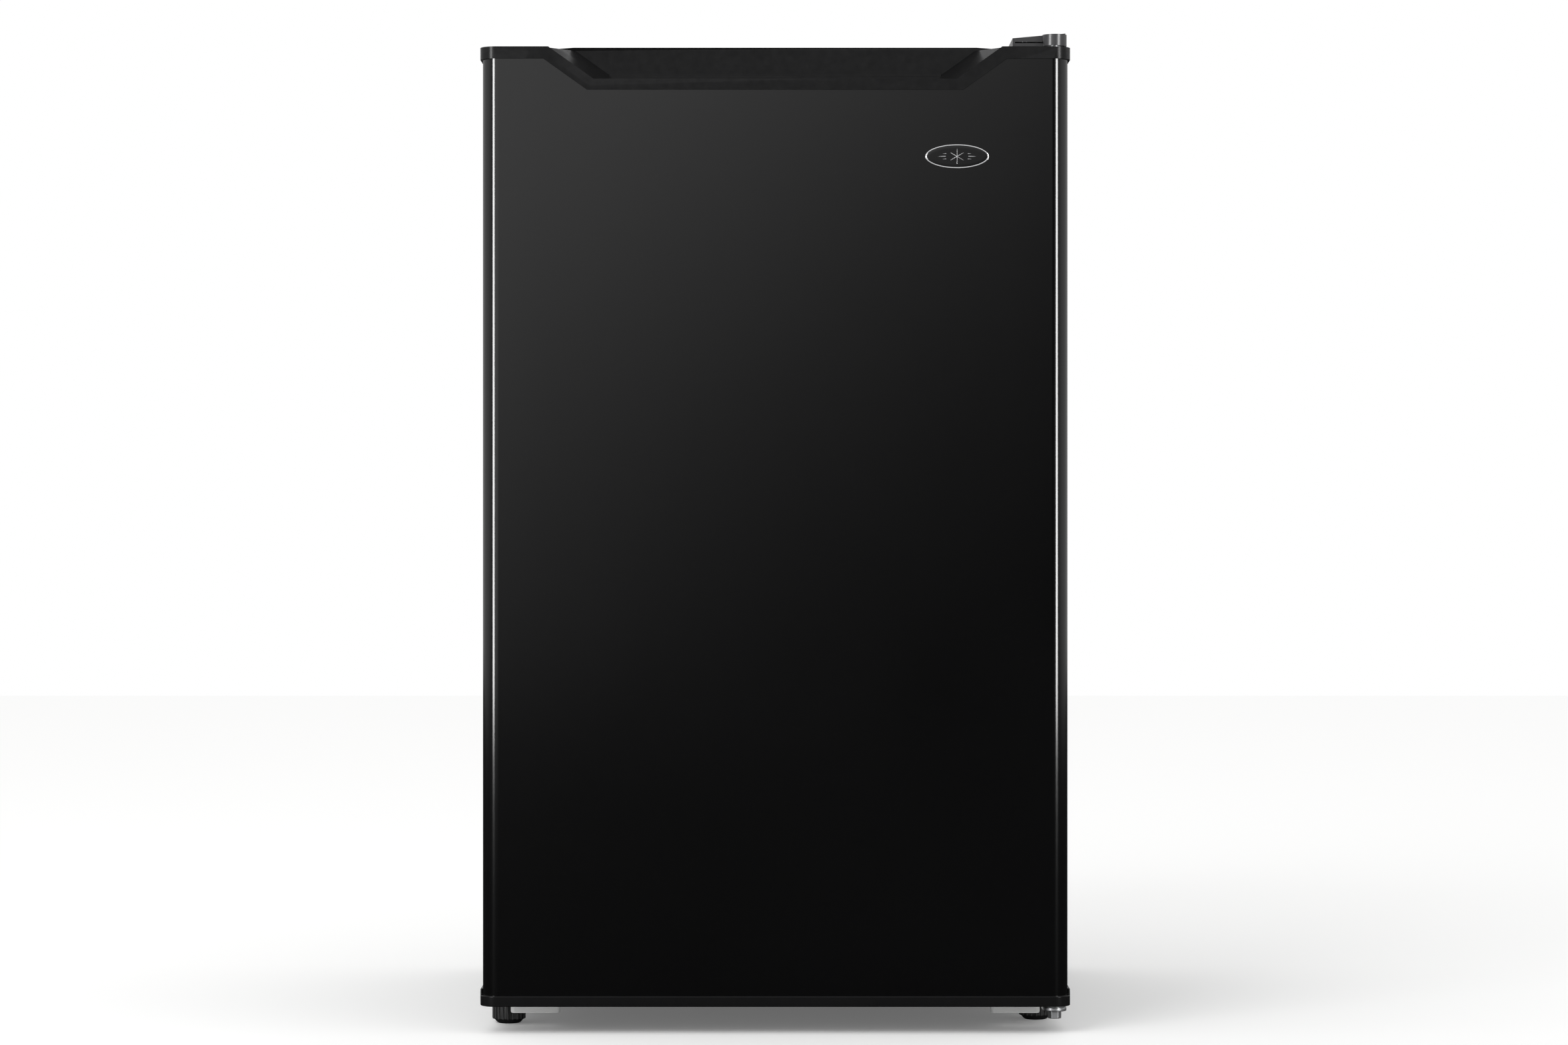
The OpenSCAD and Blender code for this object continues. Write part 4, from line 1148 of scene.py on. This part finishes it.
@dataclass(frozen=True)
class ColdCompartment:
    """Freezer box, tray, shelves, drawer and thermostat."""

    body: str = "cabinet"
    dial: tuple[float, float] = (-60.0, 600.0)
    dial_face: float = 163.0
    tick_radius: Span = (20.5, 24.5)
    tick_count: int = 8

    def build(self, shop: Workshop) -> None:
        """Builds what is inside the liner.

        Args:
            shop: Where pieces are finished.
        """
        shop.refine_all((
            Trim("evaporator_box", ALUMINIUM, 0.25),
            Trim("evaporator_hangers", WHITE_PLASTIC, 0.6),
            Trim("freezer_frame", WHITE_PLASTIC, 1.2, 3),
            Trim("freezer_flap", FROSTED, 0.9, 3),
            Trim("drip_tray", FROSTED, 0.8, 3),
            Trim("shelf_glass_lower", GLASS, 0.5),
            Trim("shelf_trims_lower", WHITE_PLASTIC, 0.3),
            Trim("shelf_glass_upper", GLASS, 0.5),
            Trim("shelf_trims_upper", WHITE_PLASTIC, 0.3),
            Trim("drawer_cover", CLEAR, 0.6),
            Trim("crisper_drawer", CLEAR, 1.0, 3),
            Trim("thermostat_housing", WHITE_PLASTIC, 0.8, 3),
            Trim("thermostat_switch", ZINC, 0.4),
            Trim("thermostat_knob", WHITE_PLASTIC, 0.4),
            Trim("defrost_button", RED, 0.9, 3),
        ))
        self.dial_marks(shop)
        self.flap_ribs(shop)

    def dial_marks(self, shop: Workshop) -> None:
        """Adds growing ticks round the knob and a pointer on it."""
        y, z = self.dial
        ticks = Shape()
        for k in range(self.tick_count):
            turn = math.radians(30 + 300 * k / (self.tick_count - 1) - 90)
            way = Vector((0, math.cos(turn), math.sin(turn)))
            inner, outer = self.tick_radius
            centre = Vector((self.dial_face, y, z))
            ticks.rod(centre + way * inner, centre + way * (inner + (outer - inner) * (0.4 + 0.6 * k / 7)),
                      0.5, sides=8)
        shop.place("dial_ticks", ticks.mesh("dial_ticks"), MATTE_BLACK, self.body)
        pointer = Shape()
        pointer.rod((148.2, y, z + 8.5), (148.2, y, z + 15.5), 0.7, 0.45, sides=10)
        shop.place("dial_pointer", pointer.mesh("dial_pointer"), RED, "thermostat_knob")

    def flap_ribs(self, shop: Workshop) -> None:
        """Adds shallow moulded ribs across the freezer flap's front."""
        ribs = Shape()
        for z in (712, 722, 732, 742):
            ribs.box((-150, 150), (-56.4, -55.8), (z - 1.2, z + 1.2), 0.25, 2)
        shop.place("freezer_flap_ribs", ribs.mesh("freezer_flap_ribs"), FROSTED, "freezer_flap")


# ---- Machine room and condenser ----


@dataclass(frozen=True)
class MachineRoom:
    """Compressor, lines, dryer and the wire-on-tube condenser."""

    body: str = "cabinet"
    compressor: tuple[float, float] = (30.0, 150.0)
    compressor_z: Span = (41.0, 168.0)
    compressor_radius: float = 62.0
    shoulder: float = 34.0
    condenser_y: float = 255.2
    condenser_half: float = 168.0
    first_run: float = 230.0
    pitch: float = 35.0
    runs: int = 15
    tube_radius: float = 2.4
    wire_radius: float = 0.8
    wire_pitch: float = 6.0
    drop_x: float = 205.0

    def build(self, shop: Workshop) -> None:
        """Builds the machine room and what hangs on the back.

        Args:
            shop: Where pieces are finished.
        """
        self.compressor_can(shop)
        self.lines(shop)
        self.condenser(shop)
        self.tray(shop)
        shop.refine_all((
            Trim("compressor_legs", ENAMEL, 0.4),
            Trim("compressor_grommets", RUBBER, 0.6),
            Trim("compressor_bolts", ZINC, 0.3),
            Trim("relay_cover", MATTE_BLACK, 1.2, 3),
            Trim("condenser_brackets", MATTE_BLACK, 0.8, 3),
            Trim("cord_gland", MATTE_BLACK, 0.6),
        ))

    def compressor_can(self, shop: Workshop) -> None:
        """Spins the compressor's two shells with their weld flange, and adds its stubs."""
        low, high = self.compressor_z
        tall, radius, shoulder = high - low, self.compressor_radius, self.shoulder
        middle = tall * 0.52
        quarter = [math.pi / 2 * k / 8 for k in range(9)]
        neck = radius - shoulder
        profile: list[Span] = [(0.0, 0.0)]
        profile += [(neck + shoulder * math.sin(a), shoulder - shoulder * math.cos(a)) for a in quarter]
        profile += [(radius, middle - 3), (radius + 0.8, middle - 1), (radius + 2.5, middle),
                    (radius + 2.5, middle + 4), (radius + 0.8, middle + 5), (radius, middle + 7)]
        profile += [(neck + shoulder * math.cos(a), tall - shoulder + shoulder * math.sin(a))
                    for a in quarter]
        profile.append((0.0, tall))
        shape = Shape().revolve(profile, (*self.compressor, low), 64)
        x, y = self.compressor
        shape.rod((x - 20, y - 55, low + 74), (x - 24, y - 72, low + 74), 3.4, rounding=0.4)
        shop.place("compressor_can", shape.mesh("compressor_can"), ENAMEL, self.body, ["compressor_shell"])

    def lines(self, shop: Workshop) -> None:
        """Bends the suction and discharge lines and the dryer's capillary."""
        x, y = self.compressor
        low = self.compressor_z[0]
        side = x + self.compressor_radius
        suction = tube_mesh("suction_tube", [
            (side - 2, y, low + 58), (side + 30, y, low + 58), (side + 30, y, 174), (side + 30, 207, 174),
            (side + 30, 207, 190)], 3.2, 12.0)
        shop.place("suction_tube", suction, COPPER, self.body, ["suction_line"])
        rear = y + self.compressor_radius
        top = self.first_run + (self.runs - 1) * self.pitch
        discharge = tube_mesh("discharge_tube", [
            (x, rear - 2, low + 48), (x, 225, low + 48), (-self.drop_x, 225, low + 48),
            (-self.drop_x, 225, low + 68), (-self.drop_x, self.condenser_y, low + 68),
            (-self.drop_x, self.condenser_y, top), (-self.condenser_half, self.condenser_y, top)],
            self.tube_radius, 10.0)
        shop.place("discharge_tube", discharge, COPPER, self.body, ["discharge_line"])
        dryer = Shape().revolve([(0, 0), (2.6, 0), (2.8, 3), (8.6, 12), (9.5, 15), (9.5, 73), (8.6, 76),
                                 (2.8, 85), (2.6, 88), (0, 88)], (200, 213, 62), 32)
        capillary = tube_mesh("capillary", [
            (200, 213, 63), (200, 213, 50), (174, 213, 50), (174, 213, 190)], 1.0, 9.0)
        dryer_mesh = dryer.mesh("dryer_body")
        shop.place("dryer_body", dryer_mesh, COPPER, self.body, ["filter_dryer"])
        shop.place("capillary", capillary, COPPER, self.body)

    def condenser(self, shop: Workshop) -> None:
        """Winds the condenser's tube and welds the upright wires on both its sides."""
        reach = self.condenser_half + self.pitch / 2
        line: list[Point] = [(self.condenser_half, self.condenser_y, self.first_run)]
        for k in range(self.runs - 1):
            side = -1 if k % 2 == 0 else 1
            z = self.first_run + k * self.pitch
            line += [(side * reach, self.condenser_y, z), (side * reach, self.condenser_y, z + self.pitch)]
        top = self.first_run + (self.runs - 1) * self.pitch
        line.append((-self.condenser_half, self.condenser_y, top))
        coil = tube_mesh("condenser_coil", line, self.tube_radius, self.pitch / 2)
        shop.place("condenser_coil", coil, ENAMEL, self.body, ["condenser_tube"])
        drop = tube_mesh("condenser_outlet", [
            (self.condenser_half, self.condenser_y, self.first_run), (200, self.condenser_y, self.first_run),
            (200, self.condenser_y, 160), (200, 213, 160), (200, 213, 149)], self.tube_radius, 10.0)
        shop.place("condenser_outlet", drop, ENAMEL, self.body, ["condenser_drop"])
        wires = Shape()
        count = int(2 * self.condenser_half // self.wire_pitch) + 1
        for k in range(count):
            x = (k - (count - 1) / 2) * self.wire_pitch
            for side in (-1, 1):
                y = self.condenser_y + side * (self.tube_radius + self.wire_radius)
                wires.rod((x, y, self.first_run - 14), (x, y, top + 14), self.wire_radius, sides=8)
        shop.place("condenser_grid", wires.mesh("condenser_grid"), ENAMEL, self.body, ["condenser_wires"])

    def tray(self, shop: Workshop) -> None:
        """Sits the evaporation tray on the compressor, under its drain tube."""
        shape = Shape()
        x, y = self.compressor
        low = self.compressor_z[1] + 0.4
        shape.box((x - 72, x + 52), (y - 52, y + 38), (low, low + 15))
        top = [f for f in shape.bm.faces if f.calc_center_median().z > low + 14]
        bmesh.ops.delete(shape.bm, geom=top, context="FACES_ONLY")
        shape.bevel(shape.sharp(), 6.0, 4)
        mesh = shape.mesh("evaporation_tray", (x, y, low + 20))
        shop.place("evaporation_tray", mesh, MATTE_BLACK, self.body, wall=1.6)
        hose = tube_mesh("drain_hose", [(x - 55, y - 30, 190), (x - 55, y - 30, low + 6)], 4.5, 1.0)
        shop.place("drain_hose", hose, RUBBER, self.body)


# ---- Hinges and feet ----


@dataclass(frozen=True)
class Fittings:
    """Hinges, their screws and the feet."""

    body: str = "cabinet"
    left_foot: tuple[float, float] = (-228.0, -180.0)
    right_foot: tuple[float, float] = (224.5, -155.0)
    foot_radius: float = 14.3
    foot_height: float = 18.0

    def build(self, shop: Workshop) -> None:
        """Builds the hinges and feet.

        Args:
            shop: Where pieces are finished.
        """
        shop.refine_all((
            Trim("top_hinge_bracket", ZINC, 0.4),
            Trim("top_hinge_pin", ZINC, 0.3),
            Trim("top_hinge_cover", HINGE_GREY, 0.8, 3),
            Trim("top_hinge_screws", ZINC, 0.5),
            Trim("lower_hinge_bracket", ZINC, 0.5),
            Trim("lower_hinge_pin", ZINC, 0.4),
            Trim("lower_hinge_washers", ZINC, 0.3),
            Trim("lower_hinge_screws", ZINC, 0.5),
            Trim("foot_stud_left", ZINC, 0.3),
            Trim("foot_stud_right", ZINC, 0.3),
            Trim("rear_feet", MATTE_BLACK, 1.0, 3),
        ))
        self.cover_skirt(shop)
        self.foot(shop, "left", self.left_foot)
        self.foot(shop, "right", self.right_foot)

    def cover_skirt(self, shop: Workshop) -> None:
        """Closes the front of the hinge cover down to a thin gap over the door's cap."""
        skirt = Shape()
        skirt.box((200.2, 226.5), (-233.6, -231.8), (827.6, 832.0), 0.3, 2)
        skirt.box((200.2, 211.5), (-233.6, -231.8), (826.5, 828.4), 0.3, 2)
        shop.place("hinge_cover_skirt", skirt.mesh("hinge_cover_skirt"), HINGE_GREY, self.body)

    def foot(self, shop: Workshop, side: str, centre: tuple[float, float]) -> None:
        """Spins a levelling foot and ribs its rim for the fingers.

        Args:
            shop: Where pieces are finished.
            side: Which foot it is.
            centre: Its centre on the floor.
        """
        radius, tall = self.foot_radius - 1.0, self.foot_height
        shape = Shape().revolve([
            (0, 0), (radius - 4.2, 0), (radius - 3.2, 0.5), (radius - 0.8, 3.2), (radius, 4.4),
            (radius, tall - 1.6), (radius - 0.8, tall - 0.5), (radius - 1.8, tall), (0, tall)],
            (*centre, 0.0), 60)
        for k in range(20):
            turn = math.radians(18 * k)
            x, y = centre[0] + radius * math.cos(turn), centre[1] + radius * math.sin(turn)
            shape.rod((x, y, 3.6), (x, y, tall - 1.0), 0.98, sides=10, rounding=0.4)
        name = f"levelling_foot_{side}"
        shop.place(name, shape.mesh(name), MATTE_BLACK, f"{side}_foot", [f"front_foot_{side}"])


def main() -> None:
    """Builds the studio and every sub-assembly."""
    logging.basicConfig(level=logging.INFO, format="%(message)s")
    Studio().build()
    shop = Workshop()
    for part in (Door(), Cabinet(), ColdCompartment(), MachineRoom(), Fittings()):
        part.build(shop)
    LOG.info("%d pieces", shop.made)


if __name__ == "__main__":
    main()
